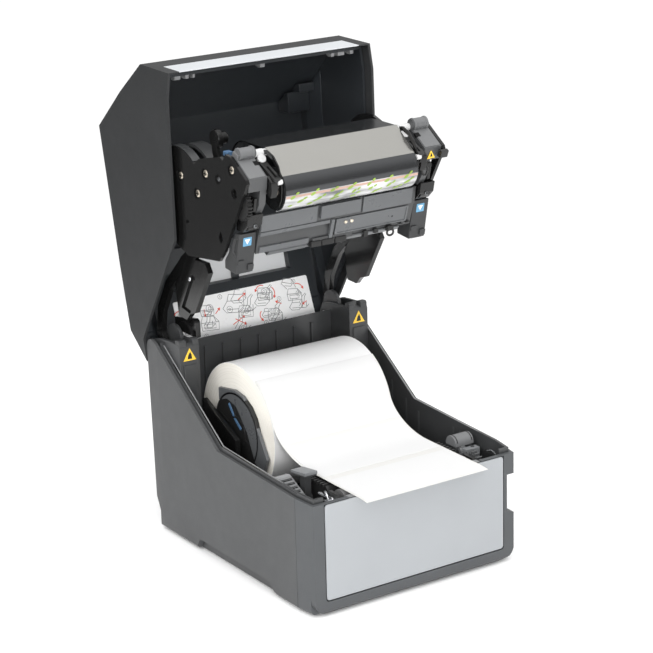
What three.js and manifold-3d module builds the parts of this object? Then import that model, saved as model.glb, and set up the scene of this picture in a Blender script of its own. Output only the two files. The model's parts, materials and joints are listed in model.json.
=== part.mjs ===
// Desktop label printer with a ribbon unit: lid open, one label roll loaded.
// Millimetres, +Z up, front at -Y, left side at -X. Side outlines are lists of [y, z].
import * as THREE from 'three';
import { mergeVertices } from 'three/addons/utils/BufferGeometryUtils.js';
import Module from 'manifold-3d';

const wasm = await Module();
wasm.setup();

// ---- driving dimensions -------------------------------------------------
const HALF_WIDTH = 89;          // outer shell, centre to side
const TAPER = 2.5;              // how far the sides draw in at the front and the back
const TAPER_FRONT = 19.2;       // depth of the tapered front strip
const TAPER_REAR = 202;         // where the rear taper starts
const DEPTH = 222;              // front face to rear taper end
const WALL = 2;                 // shell wall
const FIT = 0.3;                // clearance between touching pieces
const FRONT_TOP = 84;           // top edge of the base at the front
const KNEE = [121.2, 88.8];     // where the base edge turns steep
const STEEP_END = [204, 147.5]; // top of the steep edge
const RIM_RISE = 3.4;           // inner rim above the shell edge
const HINGE = [213.5, 140.2];   // lid and arm axis
const HINGE_ROUND = 9.6;        // rounded end of the base around the axis
const PIN_R = 2.75;
const LID_OPEN = 93.5;          // degrees from the closed outline to the open lid
const UNIT_PIVOT = [93, 276.255]; // print unit on its arms, lid open
const ROLL = { y: 151.6, z: 89, r: 50, core: 19, half: 52 };
const PLATEN = { y: 16, z: 75.8, r: 8, half: 54, shaft: 3 };
const RIBBON_FRONT = { y: 86, z: 285, r: 15.4, half: 56 };
const RIBBON_REAR = { y: 123, z: 293, r: 18.4, half: 55 };
const GUIDE_ROD = { y: 95.9, z: 309.2, r: 2.4 };
const CENTRE_Y = 130;         // middle of the open machine, moved to the origin

const SLOPE = (STEEP_END[1] - KNEE[1]) / (STEEP_END[0] - KNEE[0]);
const steepAt = (y) => KNEE[1] + (y - KNEE[0]) * SLOPE;

// ---- shape helpers ------------------------------------------------------
function solid(geometry) {
  const bare = geometry.clone();
  bare.deleteAttribute('normal');
  bare.deleteAttribute('uv');
  const merged = mergeVertices(bare, 1e-4);
  return new wasm.Manifold(new wasm.Mesh({
    numProp: 3,
    vertProperties: new Float32Array(merged.attributes.position.array),
    triVerts: new Uint32Array(merged.index.array),
  }));
}

function outlineShape(points) {
  return new THREE.Shape(points.map(([u, v]) => new THREE.Vector2(u, v)));
}

// [y, z] outline drawn out along X
function prismX(points, x0, x1) {
  const geometry = new THREE.ExtrudeGeometry(outlineShape(points), { depth: x1 - x0, bevelEnabled: false });
  geometry.applyMatrix4(new THREE.Matrix4().set(0, 0, 1, x0, 1, 0, 0, 0, 0, 1, 0, 0, 0, 0, 0, 1));
  return solid(geometry);
}

// [x, z] outline drawn out along Y
function prismY(points, y0, y1) {
  const geometry = new THREE.ExtrudeGeometry(outlineShape(points), { depth: y1 - y0, bevelEnabled: false });
  geometry.rotateX(Math.PI / 2);
  geometry.translate(0, y1, 0);
  return solid(geometry);
}

// [x, y] outline drawn out along Z
function prismZ(points, z0, z1) {
  const geometry = new THREE.ExtrudeGeometry(outlineShape(points), { depth: z1 - z0, bevelEnabled: false });
  geometry.translate(0, 0, z0);
  return solid(geometry);
}

function box(x0, x1, y0, y1, z0, z1) {
  const geometry = new THREE.BoxGeometry(x1 - x0, y1 - y0, z1 - z0);
  geometry.translate((x0 + x1) / 2, (y0 + y1) / 2, (z0 + z1) / 2);
  return solid(geometry);
}

function rodX(r, x0, x1, y, z, sides = 24) {
  const geometry = new THREE.CylinderGeometry(r, r, x1 - x0, sides);
  geometry.rotateZ(Math.PI / 2);
  geometry.translate((x0 + x1) / 2, y, z);
  return solid(geometry);
}

function ringX(outer, inner, x0, x1, y, z, sides = 40) {
  const profile = [[inner, 0], [outer, 0], [outer, x1 - x0], [inner, x1 - x0], [inner, 0]];
  const geometry = new THREE.LatheGeometry(profile.map(([r, h]) => new THREE.Vector2(r, h)), sides);
  geometry.rotateZ(-Math.PI / 2);
  geometry.translate(x0, y, z);
  return solid(geometry);
}

const union = (...pieces) => pieces.reduce((whole, piece) => whole.add(piece));
const cut = (whole, ...tools) => tools.reduce((rest, tool) => rest.subtract(tool), whole);
const span = (side, near, far) => (side < 0 ? [-far, -near] : [near, far]);

function arc(centre, r, from, to, steps) {
  return Array.from({ length: steps + 1 }, (_, i) => {
    const angle = THREE.MathUtils.degToRad(from + (to - from) * i / steps);
    return [centre[0] + r * Math.cos(angle), centre[1] + r * Math.sin(angle)];
  });
}

// outline of a band of constant width along a line of points
function band(points, half) {
  const edge = (sign) => points.map((point, i) => {
    const before = points[Math.max(i - 1, 0)];
    const after = points[Math.min(i + 1, points.length - 1)];
    const run = [after[0] - before[0], after[1] - before[1]];
    const length = Math.hypot(...run);
    return [point[0] - sign * half * run[1] / length, point[1] + sign * half * run[0] / length];
  });
  return [...edge(-1), ...edge(1).reverse()];
}

function gearX(teeth, module, x0, x1, y, z, turn, bore) {
  const pitch = teeth * module / 2;
  const points = [];
  for (let i = 0; i < teeth; i += 1) {
    for (const [share, r] of [[-0.3, -1.15], [-0.13, 0.85], [0.13, 0.85], [0.3, -1.15]]) {
      const angle = (i + share) / teeth * 2 * Math.PI + turn;
      const radius = pitch + r * module;
      points.push([y + radius * Math.cos(angle), z + radius * Math.sin(angle)]);
    }
  }
  return prismX(points, x0, x1).subtract(rodX(bore, x0 - 1, x1 + 1, y, z));
}

// plan outline of the whole machine, drawn in by inset
function plan(inset, y0 = -6, y1 = DEPTH + 6) {
  const slopeFront = TAPER / TAPER_FRONT;
  const slopeRear = TAPER / (DEPTH - TAPER_REAR);
  const half = HALF_WIDTH - inset;
  const front = HALF_WIDTH - TAPER - inset + slopeFront * y0;
  const rear = half - slopeRear * (y1 - TAPER_REAR);
  return prismZ([[-front, y0], [front, y0], [half, TAPER_FRONT], [half, TAPER_REAR], [rear, y1],
    [-rear, y1], [-half, TAPER_REAR], [-half, TAPER_FRONT]], -1, 400);
}

// ---- materials ----------------------------------------------------------
const paint = (color, roughness, metalness = 0) => new THREE.MeshStandardMaterial({ color, roughness, metalness });
const CHARCOAL = paint(0x404142, 0.6);
const GREY = paint(0x6a6d6f, 0.55);
const BEZEL = paint(0x787d82, 0.5);
const SILVER = paint(0xc5cacd, 0.4);
const BLACK = paint(0x16171a, 0.3);
const SATIN = paint(0x2a2c2f, 0.5);
const STEEL = paint(0xb9bcc0, 0.3, 1);
const RUBBER = paint(0x2c2e30, 0.9);
const PAPER = paint(0xf7f7f5, 0.8);
const CARD = paint(0xb79a72, 0.9);
const CLEAR = paint(0xd5dadc, 0.2);
const FILM = paint(0x55585c, 0.25);
const WHITE = paint(0xe9e9e6, 0.5);
const METAL_GREY = paint(0x8e9398, 0.4, 0.6);

const printer = new THREE.Group();
const base = new THREE.Group();
base.position.y = -CENTRE_Y;
printer.add(base);

// the lid is drawn closed and swung open about the hinge
const lidSwing = new THREE.Group();
lidSwing.position.set(0, HINGE[0] - CENTRE_Y, HINGE[1]);
lidSwing.rotation.x = -THREE.MathUtils.degToRad(LID_OPEN);
const lid = new THREE.Group();
lid.position.set(0, -HINGE[0], -HINGE[1]);
lidSwing.add(lid);
printer.add(lidSwing);

function part(group, name, shape, material) {
  const { numProp, vertProperties, triVerts } = shape.getMesh();
  const position = new Float32Array(vertProperties.length / numProp * 3);
  for (let i = 0; i < position.length / 3; i += 1) {
    for (let k = 0; k < 3; k += 1) position[3 * i + k] = vertProperties[numProp * i + k];
  }
  const geometry = new THREE.BufferGeometry();
  geometry.setAttribute('position', new THREE.BufferAttribute(position, 3));
  geometry.setIndex(new THREE.BufferAttribute(new Uint32Array(triVerts), 1));
  geometry.computeVertexNormals();
  const mesh = new THREE.Mesh(geometry, material);
  mesh.name = name;
  group.add(mesh);
}

// ---- base housing -------------------------------------------------------
const SPLIT = TAPER_FRONT;      // front cover meets the base shell here
const FLOOR = 1.5;              // underside above the table
const BACK = DEPTH;
const baseOutline = [[0, FLOOR + 3], [3, FLOOR], [211, FLOOR], [211, 14], [217.5, 24], [BACK, 130],
  ...arc(HINGE, HINGE_ROUND, -20, 110, 8), STEEP_END, KNEE, [0, FRONT_TOP]];
const baseCavity = [[3, FLOOR + WALL], [208.5, FLOOR + WALL], [208.5, 15], [215, 25], [BACK - 2.5, 130],
  [BACK - 2.5, 200], [3, 200]];

// the section seen from the front, with rounded lower corners
function frontSection(half, corner, y0, y1) {
  return prismY([...arc([half - corner, FLOOR + corner], corner, -90, 0, 6), [half, FLOOR + corner + 1],
    [half + 3, FLOOR + corner + 3], [half + 3, 200], [-half - 3, 200], [-half - 3, FLOOR + corner + 3],
    [-half, FLOOR + corner + 1], ...arc([-half + corner, FLOOR + corner], corner, 180, 270, 6)], y0, y1);
}

function baseBody() {
  const outer = prismX(baseOutline, -HALF_WIDTH, HALF_WIDTH).intersect(plan(0));
  const corners = frontSection(87, 12, -1, SPLIT).add(frontSection(HALF_WIDTH, 4, SPLIT, DEPTH + 10));
  const inner = prismX(baseCavity, -HALF_WIDTH, HALF_WIDTH).intersect(plan(WALL + 0.3));
  const innerCorners = frontSection(87 - WALL, 10, -1, SPLIT + 2).add(frontSection(HALF_WIDTH - WALL, 4, SPLIT, DEPTH + 10));
  return outer.intersect(corners).subtract(inner.intersect(innerCorners));
}

const USB_BAY = { x: 80.4, depth: 16, low: 40, high: 68, lip: 35 };
const PANEL = { half: 77.4, low: 11.4, high: 82.9, deep: 1.2, corner: 2.6 };

function panelOutline(grow) {
  const { half, low, high, corner } = PANEL;
  const x = half + grow;
  return [...arc([x - corner, low - grow + corner], corner, -90, 0, 4), [x, high + 2 * grow], [-x, high + 2 * grow],
    ...arc([-x + corner, low - grow + corner], corner, 180, 270, 4)];
}

function frontCover(body) {
  const front = body.intersect(box(-100, 100, -1, SPLIT - FIT / 2, -1, 300));
  const { x, depth, low, high, lip } = USB_BAY;
  const bayWall = box(x - 2, HALF_WIDTH - 3.5, 1, depth + 2, lip - 3, high + 2);
  const bay = prismY([[x, low], [x, high], [95, high], [95, lip]], -1, depth);
  return cut(front.add(bayWall), bay, prismY(panelOutline(FIT), -1, PANEL.deep + FIT),
    box(-57, 57, -1, 6, 83.4, 90));
}

function frontPanel() {
  return prismY(panelOutline(0), 0, PANEL.deep);
}

const GRIP = { front: 44, rear: 155, top: 10.5, deep: 5 };

function baseShell(body) {
  const rear = body.intersect(box(-100, 100, SPLIT + FIT / 2, 300, -1, 300));
  const sill = (side) => box(...span(side, HALF_WIDTH - 8.5, HALF_WIDTH - 2.2), GRIP.front - 4, GRIP.rear + 4,
    FLOOR + 0.2, GRIP.top + 2.5);
  const gripOutline = [[GRIP.front, -1], [GRIP.rear + 2, -1], [GRIP.rear, 6],
    ...arc([GRIP.rear - 6, GRIP.top - 5], 5, 0, 90, 4), [GRIP.front + 12, GRIP.top - 0.8]];
  const grip = (side) => prismX(gripOutline, ...span(side, HALF_WIDTH - GRIP.deep, HALF_WIDTH + 2));
  return cut(rear.add(sill(1)).add(sill(-1)), grip(1), grip(-1),
    box(-84.5, 84.5, 212, 230, 127, 200),
    box(-66, 40, 205, 230, 30, 74));
}

function foot(x, y) {
  const geometry = new THREE.CylinderGeometry(7, 6.5, FLOOR - FIT, 20);
  geometry.rotateX(Math.PI / 2);
  geometry.translate(x, y, (FLOOR - FIT) / 2);
  return solid(geometry);
}

// ---- media tray, towers and rear panel ---------------------------------
const SHELF = 66;               // front shelf beside the platen
const BAY_FLOOR = 36;

function mediaTray() {
  const rimEnd = 201.5;
  const rise = RIM_RISE / Math.cos(Math.atan(SLOPE));
  const kneeY = KNEE[0] - 2;
  const rim = [[3.3, FRONT_TOP + RIM_RISE], [3.3, SHELF - 3], [61, SHELF - 3], [90, 40], [99, BAY_FLOOR - 2.6],
    [205.5, BAY_FLOOR - 2.6], [205.5, 141], [rimEnd, steepAt(rimEnd) + rise], [kneeY, KNEE[1] + RIM_RISE]];
  const hollow = [[4.9, 200], [4.9, SHELF], [62, SHELF], [92, 43], [100, BAY_FLOOR], [203, BAY_FLOOR], [203, 200]];
  const outer = prismX(rim, -HALF_WIDTH, HALF_WIDTH).intersect(plan(WALL + 0.6));
  const inner = prismX(hollow, -HALF_WIDTH, HALF_WIDTH).intersect(plan(WALL + 2.8));
  const towerGap = (side) => box(...span(side, 66.5, 84.5), 202.9, 207, 94, 200);
  const pads = [];
  for (const side of [-1, 1]) {
    for (let i = 0; i < 4; i += 1) {
      pads.push(box(...span(side, 68, 76), 12 + 7 * i, 15 + 7 * i, SHELF - 1, SHELF + 2.5));
    }
  }
  const ribs = [-48, -32, -16, 0, 16, 32, 48].map((x) => box(x - 0.8, x + 0.8, 201.5, 203.5, 100, 139.5));
  const bayGap = box(USB_BAY.x - 2 - FIT, 90, 0, USB_BAY.depth + 2 + FIT, SHELF - 6, USB_BAY.high + 2 + FIT);
  const plateSlot = (side) => box(...span(side, 80.9, 84.6), 41, 88, 30, SHELF + 1);
  const gearDip = box(60.2, 65.4, 5.6, 26.4, SHELF - 0.6, SHELF + 1);
  const tray = cut(outer.subtract(inner), towerGap(-1), towerGap(1), box(-76, 76, 2, 6, 82, 100), bayGap,
    plateSlot(-1), plateSlot(1), gearDip);
  return union(tray, ...pads, ...ribs, guideRail(), lockBracket(), releaseBracket());
}

const TOWER = { near: 67, far: 84, front: 178, top: 153, foot: 95 };

function hingeTower(side) {
  const { near, far, front, top } = TOWER;
  const cheek = [[front, BAY_FLOOR + 1], [202.5, BAY_FLOOR + 1], [202.5, TOWER.foot], [217.6, TOWER.foot],
    [219.2, 130], [219.2, 141], [215, 149.5], [205, 152], [192, top], [front + 2, top], [front, top - 2]];
  const inside = [[front + 2.5, BAY_FLOOR - 5], [225, BAY_FLOOR - 5], [225, 200], [192, 200],
    [192, top - 2.5], [front + 2.5, top - 2.5]];
  const whole = prismX(cheek, ...span(side, near, far));
  const channel = prismX(inside, ...span(side, near + 2.5, far - 2.5));
  return cut(whole, channel, rodX(PIN_R + 0.25, -90, 90, ...HINGE));
}

const hingePin = (side) => rodX(PIN_R, ...span(side, TOWER.near + 0.2, TOWER.far - 0.2), ...HINGE);

function rearPortPanel() {
  const plate = box(-65.6, 39.6, 208.9, 210.9, 30.4, 73.6);
  const openings = [box(-59, -45, 205, 214, 44, 56), box(-8, 4, 205, 214, 42, 53),
    box(18, 31, 205, 214, 42, 62)];
  return cut(plate, ...openings);
}

function powerInlet() {
  const body = box(-58.7, -45.3, 206, 212.5, 44.3, 55.7);
  const jack = new THREE.CylinderGeometry(4.2, 4.2, 10, 20).translate(-52, 213, 50);
  const pin = new THREE.CylinderGeometry(1, 1, 5, 12).translate(-52, 209.5, 50);
  return union(cut(body, solid(jack)), solid(pin));
}

function usbSocket() {
  return cut(box(-7.7, 3.7, 206, 212, 42.3, 52.7), box(-6, 2, 207.5, 214, 44, 51));
}

function powerSwitch() {
  const rocker = [[206.9, 43], [209, 42.6], [213, 44.5], [211.4, 52], [212, 59.5], [209, 61.4], [206.9, 61]];
  return prismX(rocker, 18.5, 30.5);
}

function frontUsbSocket() {
  return cut(box(70.6, 78.1, 4, 14, 46, 60), box(76, 80, 6, 12, 48, 58));
}

// ---- paper path ---------------------------------------------------------
function webGuide() {
  const outline = [[27, SHELF + FIT], [60, SHELF + FIT], [60, 78], [52, 82.4], [30, 82.4], [27, 79]];
  const hollow = [[29, SHELF - 1], [58, SHELF - 1], [58, 77], [51, 80.4], [31, 80.4], [29, 78]];
  return prismX(outline, -56, 56).subtract(prismX(hollow, -54, 54));
}

function platenBracket(side) {
  const outline = [[7, SHELF + FIT], [26, SHELF + FIT], [26, 76], [21, 83], [11, 83], [7, 77]];
  const ribs = box(...span(side, 60, 65.5), 22.5, 25.5, SHELF + FIT, 78);
  const bore = rodX(PLATEN.shaft + 0.3, -70, 70, PLATEN.y, PLATEN.z);
  const plate = prismX(outline, ...span(side, 57, 60));
  return cut(side < 0 ? plate.add(ribs) : plate, bore);
}

const platenRoller = () => ringX(PLATEN.r, PLATEN.shaft + 0.3, -PLATEN.half, PLATEN.half, PLATEN.y, PLATEN.z, 32);
const platenShaft = () => rodX(PLATEN.shaft, -65, 66, PLATEN.y, PLATEN.z);

const DRIVE = { teeth: 18, pinion: 10, module: 1, y: 30, z: 73.9 };
const MESH_TURN = Math.atan2(DRIVE.z - PLATEN.z, DRIVE.y - PLATEN.y);

function platenGear() {
  return gearX(DRIVE.teeth, DRIVE.module, 60.6, 65, PLATEN.y, PLATEN.z, MESH_TURN, PLATEN.shaft + 0.3);
}

function motorGear() {
  const turn = MESH_TURN + Math.PI + Math.PI / DRIVE.pinion;
  const gear = gearX(DRIVE.pinion, DRIVE.module, 60.6, 65, DRIVE.y, DRIVE.z, turn, 1);
  return gear.add(rodX(1.6, 57.2, 66, DRIVE.y, DRIVE.z, 16));
}

const WEB_START = 70;           // degrees forward of the top where the web leaves the roll
const WEB_THICK = 0.5;

function webLine() {
  const turn = THREE.MathUtils.degToRad(WEB_START);
  const r = ROLL.r + 0.6;
  const start = new THREE.Vector2(ROLL.y - r * Math.sin(turn), ROLL.z + r * Math.cos(turn));
  const curve = new THREE.CubicBezierCurve(start, new THREE.Vector2(start.x - 5, start.y - 13),
    new THREE.Vector2(78, 84.8), new THREE.Vector2(58, 84.6));
  const wrap = arc([ROLL.y, ROLL.z], r, 120, 90 + WEB_START, 6).slice(0, -1);
  const flat = [[30, 84.4], [16, 84.3], [2, 84.2], [-6, 84.2], [-14.5, 83.4]];
  return [...wrap, ...curve.getPoints(9).map((p) => [p.x, p.y]), ...flat];
}

const labelWeb = () => prismX(band(webLine(), WEB_THICK / 2), -ROLL.half, ROLL.half);
const labelRoll = () => ringX(ROLL.r, ROLL.core + 2.3, -ROLL.half, ROLL.half, ROLL.y, ROLL.z, 64);
const rollCore = () => ringX(ROLL.core + 2, ROLL.core, -ROLL.half + 0.5, ROLL.half - 0.5, ROLL.y, ROLL.z, 40);

const GUIDE = { inner: 52.4, outer: 55.4, disc: 30, hub: 17.6, foot: 22, runner: 2 };

function mediaGuide(side) {
  const { inner, outer, disc, hub, foot: half } = GUIDE;
  const centre = [148, ROLL.z];
  const low = BAY_FLOOR + 0.6;
  const lean = Math.sqrt(disc * disc - half * half);
  const start = THREE.MathUtils.radToDeg(Math.atan2(-lean, half));
  const outline = [[centre[0] - half, low], [centre[0] + half, low], ...arc(centre, disc, start, 180 - start, 14)];
  const runner = box(...span(side, 30, outer), 133, 163, low, low + GUIDE.runner);
  const railHole = box(-90, 90, 144.4, 151.6, BAY_FLOOR - 2, BAY_FLOOR + 3);
  const hubDisc = rodX(hub, ...span(side, 50, inner + 0.5), ROLL.y, ROLL.z, 28);
  return cut(union(prismX(outline, ...span(side, inner, outer)), runner, hubDisc), railHole);
}

const guideRail = () => box(-62, 62, 144.8, 151.2, BAY_FLOOR - 0.5, BAY_FLOOR + 2.4);

const LOCK_AXIS = [47, 70];

function guideLockLever() {
  const post = prismX([[44, 68], [50, 68], [51, 88.5], [44, 88.5]], -64, -59);
  const tab = prismX([[40, 88], [58, 86], [58, 88.5], [40, 91]], -66.5, -56.5);
  return cut(union(post, tab, rodX(3.6, -66, -58, ...LOCK_AXIS, 16)), rodX(1.8, -70, -50, ...LOCK_AXIS, 12));
}

function lockBracket() {
  return union(box(-68.6, -66.3, 42, 52, SHELF - 0.5, 75), rodX(1.5, -67, -58.2, ...LOCK_AXIS, 12));
}

const RELEASE_AXIS = [40, 77];

function releaseLever() {
  const drum = new THREE.CylinderGeometry(4.4, 4.4, 20, 20).translate(70.1, 43, 86);
  const leg = prismX([[36, 74], [44, 74], [44, 84], [36, 84]], 67.5, 71.5);
  const hub = rodX(3.8, 66.6, 72.4, ...RELEASE_AXIS, 16);
  return cut(union(solid(drum), leg, hub), rodX(1.8, 60, 80, ...RELEASE_AXIS, 12));
}

function releaseBracket() {
  const plate = [[30, SHELF - 0.5], [50, SHELF - 0.5], [46, 81], [34, 81]];
  return union(prismX(plate, 74.8, 76.8), rodX(1.5, 66, 75, ...RELEASE_AXIS, 12));
}

// ---- lid, drawn closed --------------------------------------------------
const LID_LIP = [0, 84.9];
const LID_FRONT = [-3, 125.5];
const LID_BROW = [48, 191.2];
const LID_TOP = [153, 176.4];
const LID_BACK = [201.5, 168];
const LID_TAIL = [223.3, 151];
const lidOutline = [LID_LIP, [120.9, 89.8], [206.2, 150.1], LID_TAIL, LID_BACK, LID_TOP, LID_BROW, LID_FRONT];
const lidHollow = [[2.1, 60], [219.5, 60], [219.5, 151.2], [200.8, 165.9], [152.7, 174.3], [48.7, 189],
  [-0.9, 125.2]];
const WINDOW = { half: 55, front: 147, rear: 180 };
const STRIP = { half: 77, rise: 23, deep: 0.8 };

// a plate lying on the slanted lid face, from along u0 to u1 and standing from depth to proud
function onFace(from, to, u0, u1, depth, proud, x0, x1) {
  const length = Math.hypot(to[0] - from[0], to[1] - from[1]);
  const run = [(to[0] - from[0]) / length, (to[1] - from[1]) / length];
  const out = [-run[1], run[0]];
  const at = (u, w) => [from[0] + run[0] * u + out[0] * w, from[1] + run[1] * u + out[1] * w];
  return prismX([at(u0, -depth), at(u1, -depth), at(u1, proud), at(u0, proud)], x0, x1);
}

function faceButton(u, x, r, depth, proud) {
  const length = Math.hypot(LID_BROW[0] - LID_FRONT[0], LID_BROW[1] - LID_FRONT[1]);
  const run = [(LID_BROW[0] - LID_FRONT[0]) / length, (LID_BROW[1] - LID_FRONT[1]) / length];
  const geometry = new THREE.CylinderGeometry(r, r, depth + proud, 28);
  geometry.translate(0, (proud - depth) / 2, 0);
  geometry.rotateX(Math.atan2(run[0], -run[1]));
  geometry.translate(x, LID_FRONT[0] + run[0] * u, LID_FRONT[1] + run[1] * u);
  return solid(geometry);
}

const DISPLAY = { low: 22, high: 62, half: 38 };
const KEYS = { x: 26, u: [34, 50], r: 5 };

function lidShell() {
  const outer = prismX(lidOutline, -HALF_WIDTH, HALF_WIDTH).intersect(plan(0));
  const inner = prismX(lidHollow, -HALF_WIDTH, HALF_WIDTH).intersect(plan(WALL));
  const windowHole = box(-WINDOW.half - FIT, WINDOW.half + FIT, WINDOW.front - FIT, WINDOW.rear + FIT, 160, 190);
  const stripSeat = onFace(LID_LIP, LID_FRONT, -5, STRIP.rise + FIT, STRIP.deep + FIT, 3,
    -STRIP.half - FIT, STRIP.half + FIT);
  const displaySeat = onFace(LID_FRONT, LID_BROW, DISPLAY.low - FIT, DISPLAY.high + FIT, 1, 3,
    -DISPLAY.half - FIT, DISPLAY.half + FIT);
  const keyHoles = KEYS.u.map((u) => faceButton(u, KEYS.x, KEYS.r + 0.6, 4, 4));
  return cut(outer.subtract(inner), windowHole, stripSeat, displaySeat, ...keyHoles);
}

const innerTop = [[219, 148.7], [183.4, 160.5], [146.6, 172.2], [50.6, 184.6], [2.4, 126.4], [4.4, 92]];

function lidLiner() {
  const skirt = [[2.5, 93.5], [-0.5, 125.2], [49.2, 188.5], [152.6, 173.9], [200.6, 165.5], [219.1, 151],
    [219.3, 148.9], [203, 155], [119.5, 97.5]];
  const hollow = [[4.6, 60], [230, 60], [230, 147.4], ...innerTop.slice(0, 5), [4.6, 92]];
  const outer = prismX(skirt, -HALF_WIDTH, HALF_WIDTH).intersect(plan(WALL + 0.4));
  const inner = prismX(hollow, -HALF_WIDTH, HALF_WIDTH).intersect(plan(WALL + 2.4));
  const windowHole = box(-WINDOW.half + 2, WINDOW.half - 2, WINDOW.front + 2, WINDOW.rear - 2, 150, 190);
  const lug = (side) => {
    const neck = [[207.5, 141], [219.5, 141], [217.5, 150.6], [205, 156]];
    const hub = rodX(7, ...span(side, 77.6, 81), ...HINGE);
    return hub.add(prismX(neck, ...span(side, 77.6, 81)));
  };
  const pocket = [[150, 158], [150, 171.6], [165, 169.6], [192, 165.4], [200, 163.6], [211, 155.2], [214, 152],
    [214, 140], [203, 148], [190, 153]];
  const armPocket = (side) => prismX(pocket, ...span(side, ARM.near - 0.8, ARM.far + 0.5));
  return cut(union(cut(outer, inner), lug(-1), lug(1)),
    rodX(PIN_R + 0.35, -90, 90, ...HINGE), windowHole, armPocket(-1), armPocket(1));
}

function lidWindow() {
  const top = (y) => LID_TOP[1] + (y - LID_TOP[0]) * (LID_BACK[1] - LID_TOP[1]) / (LID_BACK[0] - LID_TOP[0]);
  const { half, front, rear } = WINDOW;
  const brow = LID_TOP[1] + (LID_TOP[0] - front) * 0.141;
  return prismX([[front, brow - 2], [LID_TOP[0], LID_TOP[1] - 2], [rear, top(rear) - 2], [rear, top(rear)],
    LID_TOP, [front, brow]], -half, half);
}

function instructionSheet() {
  return onFace([217.5, 149.2], [184.2, 160.2], 1, 34, -0.3, 0.7, -65, 65);
}

const frontStrip = () => onFace(LID_LIP, LID_FRONT, 0.3, STRIP.rise, STRIP.deep, 0, -STRIP.half, STRIP.half);

const displayPanel = () => cut(onFace(LID_FRONT, LID_BROW, DISPLAY.low, DISPLAY.high, 0.7, 0.6,
  -DISPLAY.half, DISPLAY.half), ...KEYS.u.map((u) => faceButton(u, KEYS.x, KEYS.r + 0.6, 4, 4)));
const panelKey = (u) => faceButton(u, KEYS.x, KEYS.r, 1.2, 1.4);

// ---- arms that carry the print unit ------------------------------------
const ARM = { near: 73, far: 77, half: 4 };

function arm(side) {
  const [x0, x1] = span(side, ARM.near, ARM.far);
  const neck = band([[214.5, 143], [219.2, 153], [215.8, 171.2], [202.9, 192.7], [177.3, 217.3]], ARM.half);
  const reach = band([[180, 214], [134.6, 247.9], UNIT_PIVOT], 5);
  const plate = [[171, 221], [147.3, 221.4], [143, 214.8], [164.5, 180], [171, 178], [177, 172], [188.5, 172.5],
    [192, 196]];
  const slot = [[155, 205], [167, 209], [184, 180], [172, 178]];
  const recess = prismX(slot, ...span(side, ARM.far - 1.6, ARM.far + 1));
  const whole = union(prismX(neck, x0, x1), prismX(reach, x0, x1), prismX(plate, x0, x1),
    rodX(7, x0, x1, ...HINGE), rodX(6.5, x0, x1, ...UNIT_PIVOT));
  return cut(whole, rodX(PIN_R + 0.35, -90, 90, ...HINGE), rodX(PIN_R + 0.35, -90, 90, ...UNIT_PIVOT),
    recess);
}

const unitPin = (side) => rodX(PIN_R, ...span(side, 67, 77), ...UNIT_PIVOT);

// ---- print unit ---------------------------------------------------------
const COVER = { y: 168, z: 270, r: 34.6, wall: 2.4, from: -55, to: 128 };
const IDLER = { y: 89, z: 276.4, teeth: 26, module: 0.8, bore: 3.2 };
const plateOutline = [[76, 296.9], [75, 294.2], [107.9, 239.6], [115.4, 231.3], [157.9, 226.1], [172.5, 231],
  ...arc([COVER.y, COVER.z], COVER.r, -62, 132, 12), [138.5, 300.6], [109.6, 307.3], [105.5, 305.4],
  [101.9, 310.4], [95, 309.5]];

const coverCurve = (r) => arc([COVER.y, COVER.z], r, COVER.from, COVER.to, 12);
const coverBand = () => [...coverCurve(COVER.r), ...coverCurve(COVER.r - COVER.wall).reverse()];

function sidePlate(side) {
  const [x0, x1] = span(side, 81.5, 84);
  const diamond = [[108.8, 248.7], [112, 244.5], [114.8, 248.7], [112, 254]];
  const plate = cut(prismX(plateOutline, x0, x1), rodX(2.2, -90, 90, 157.2, 251.1, 12),
    rodX(3, -90, 90, 91.8, 284.5, 14), prismX(diamond, x0 - 1, x1 + 1));
  if (side > 0) return plate;
  return union(plate, prismX(coverBand(), -82, -77.4), rodX(IDLER.bore - FIT, -82, -77.8, IDLER.y, IDLER.z, 16));
}

function spoolCover() {
  return prismX(coverBand(), -71.6, -60.5).add(prismX(coverCurve(COVER.r), -62.5, -60.5));
}

function bearingBlock(side) {
  const inner = [[109, 303.6], [101, 308.8], [94.6, 309.1], [76.2, 296.7], [77.6, 287.5], [109, 287.5]];
  const cap = [[99.5, 304], [98, 308.9], [94.6, 309.1], [76.2, 296.7], [77.6, 287.5], [96, 287.5]];
  const low = [[78.2, 288], [80, 277], [86, 268.6], [98, 268.6], [109, 272], [109, 288]];
  const web = prismX(inner, ...span(side, 66.5, 72.3)).add(prismX(cap, ...span(side, 66.5, 81.2)));
  const wall = prismX(low, ...span(side, 66.5, 71.6));
  const tube = rodX(4, ...span(side, 66.5, 79), 93.4, 311.3, 20);
  const plate = [[108, 303.4], [108, 262], [114, 256], [128, 256], [138, 268], [138, 296], [130, 300]];
  return cut(union(web, wall, tube, prismX(plate, ...span(side, 67.5, 70.5))),
    rodX(GUIDE_ROD.r + 0.3, -68.6, 68.6, GUIDE_ROD.y, GUIDE_ROD.z, 20),
    rodX(PIN_R + 0.3, -80, 80, ...UNIT_PIVOT),
    rodX(3.2, -90, 90, RIBBON_REAR.y, RIBBON_REAR.z));
}

function latchBlock(side) {
  const outline = [[91.8, 255], [97.9, 255], [107.2, 239.4], [112.8, 232.8], [113.2, 226.4], [98.5, 225]];
  return cut(prismX(outline, ...span(side, 67, 81)),
    prismX([[99, 222], [108, 222], [105, 236], [101, 236]], ...span(side, 70, 78)));
}

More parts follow.
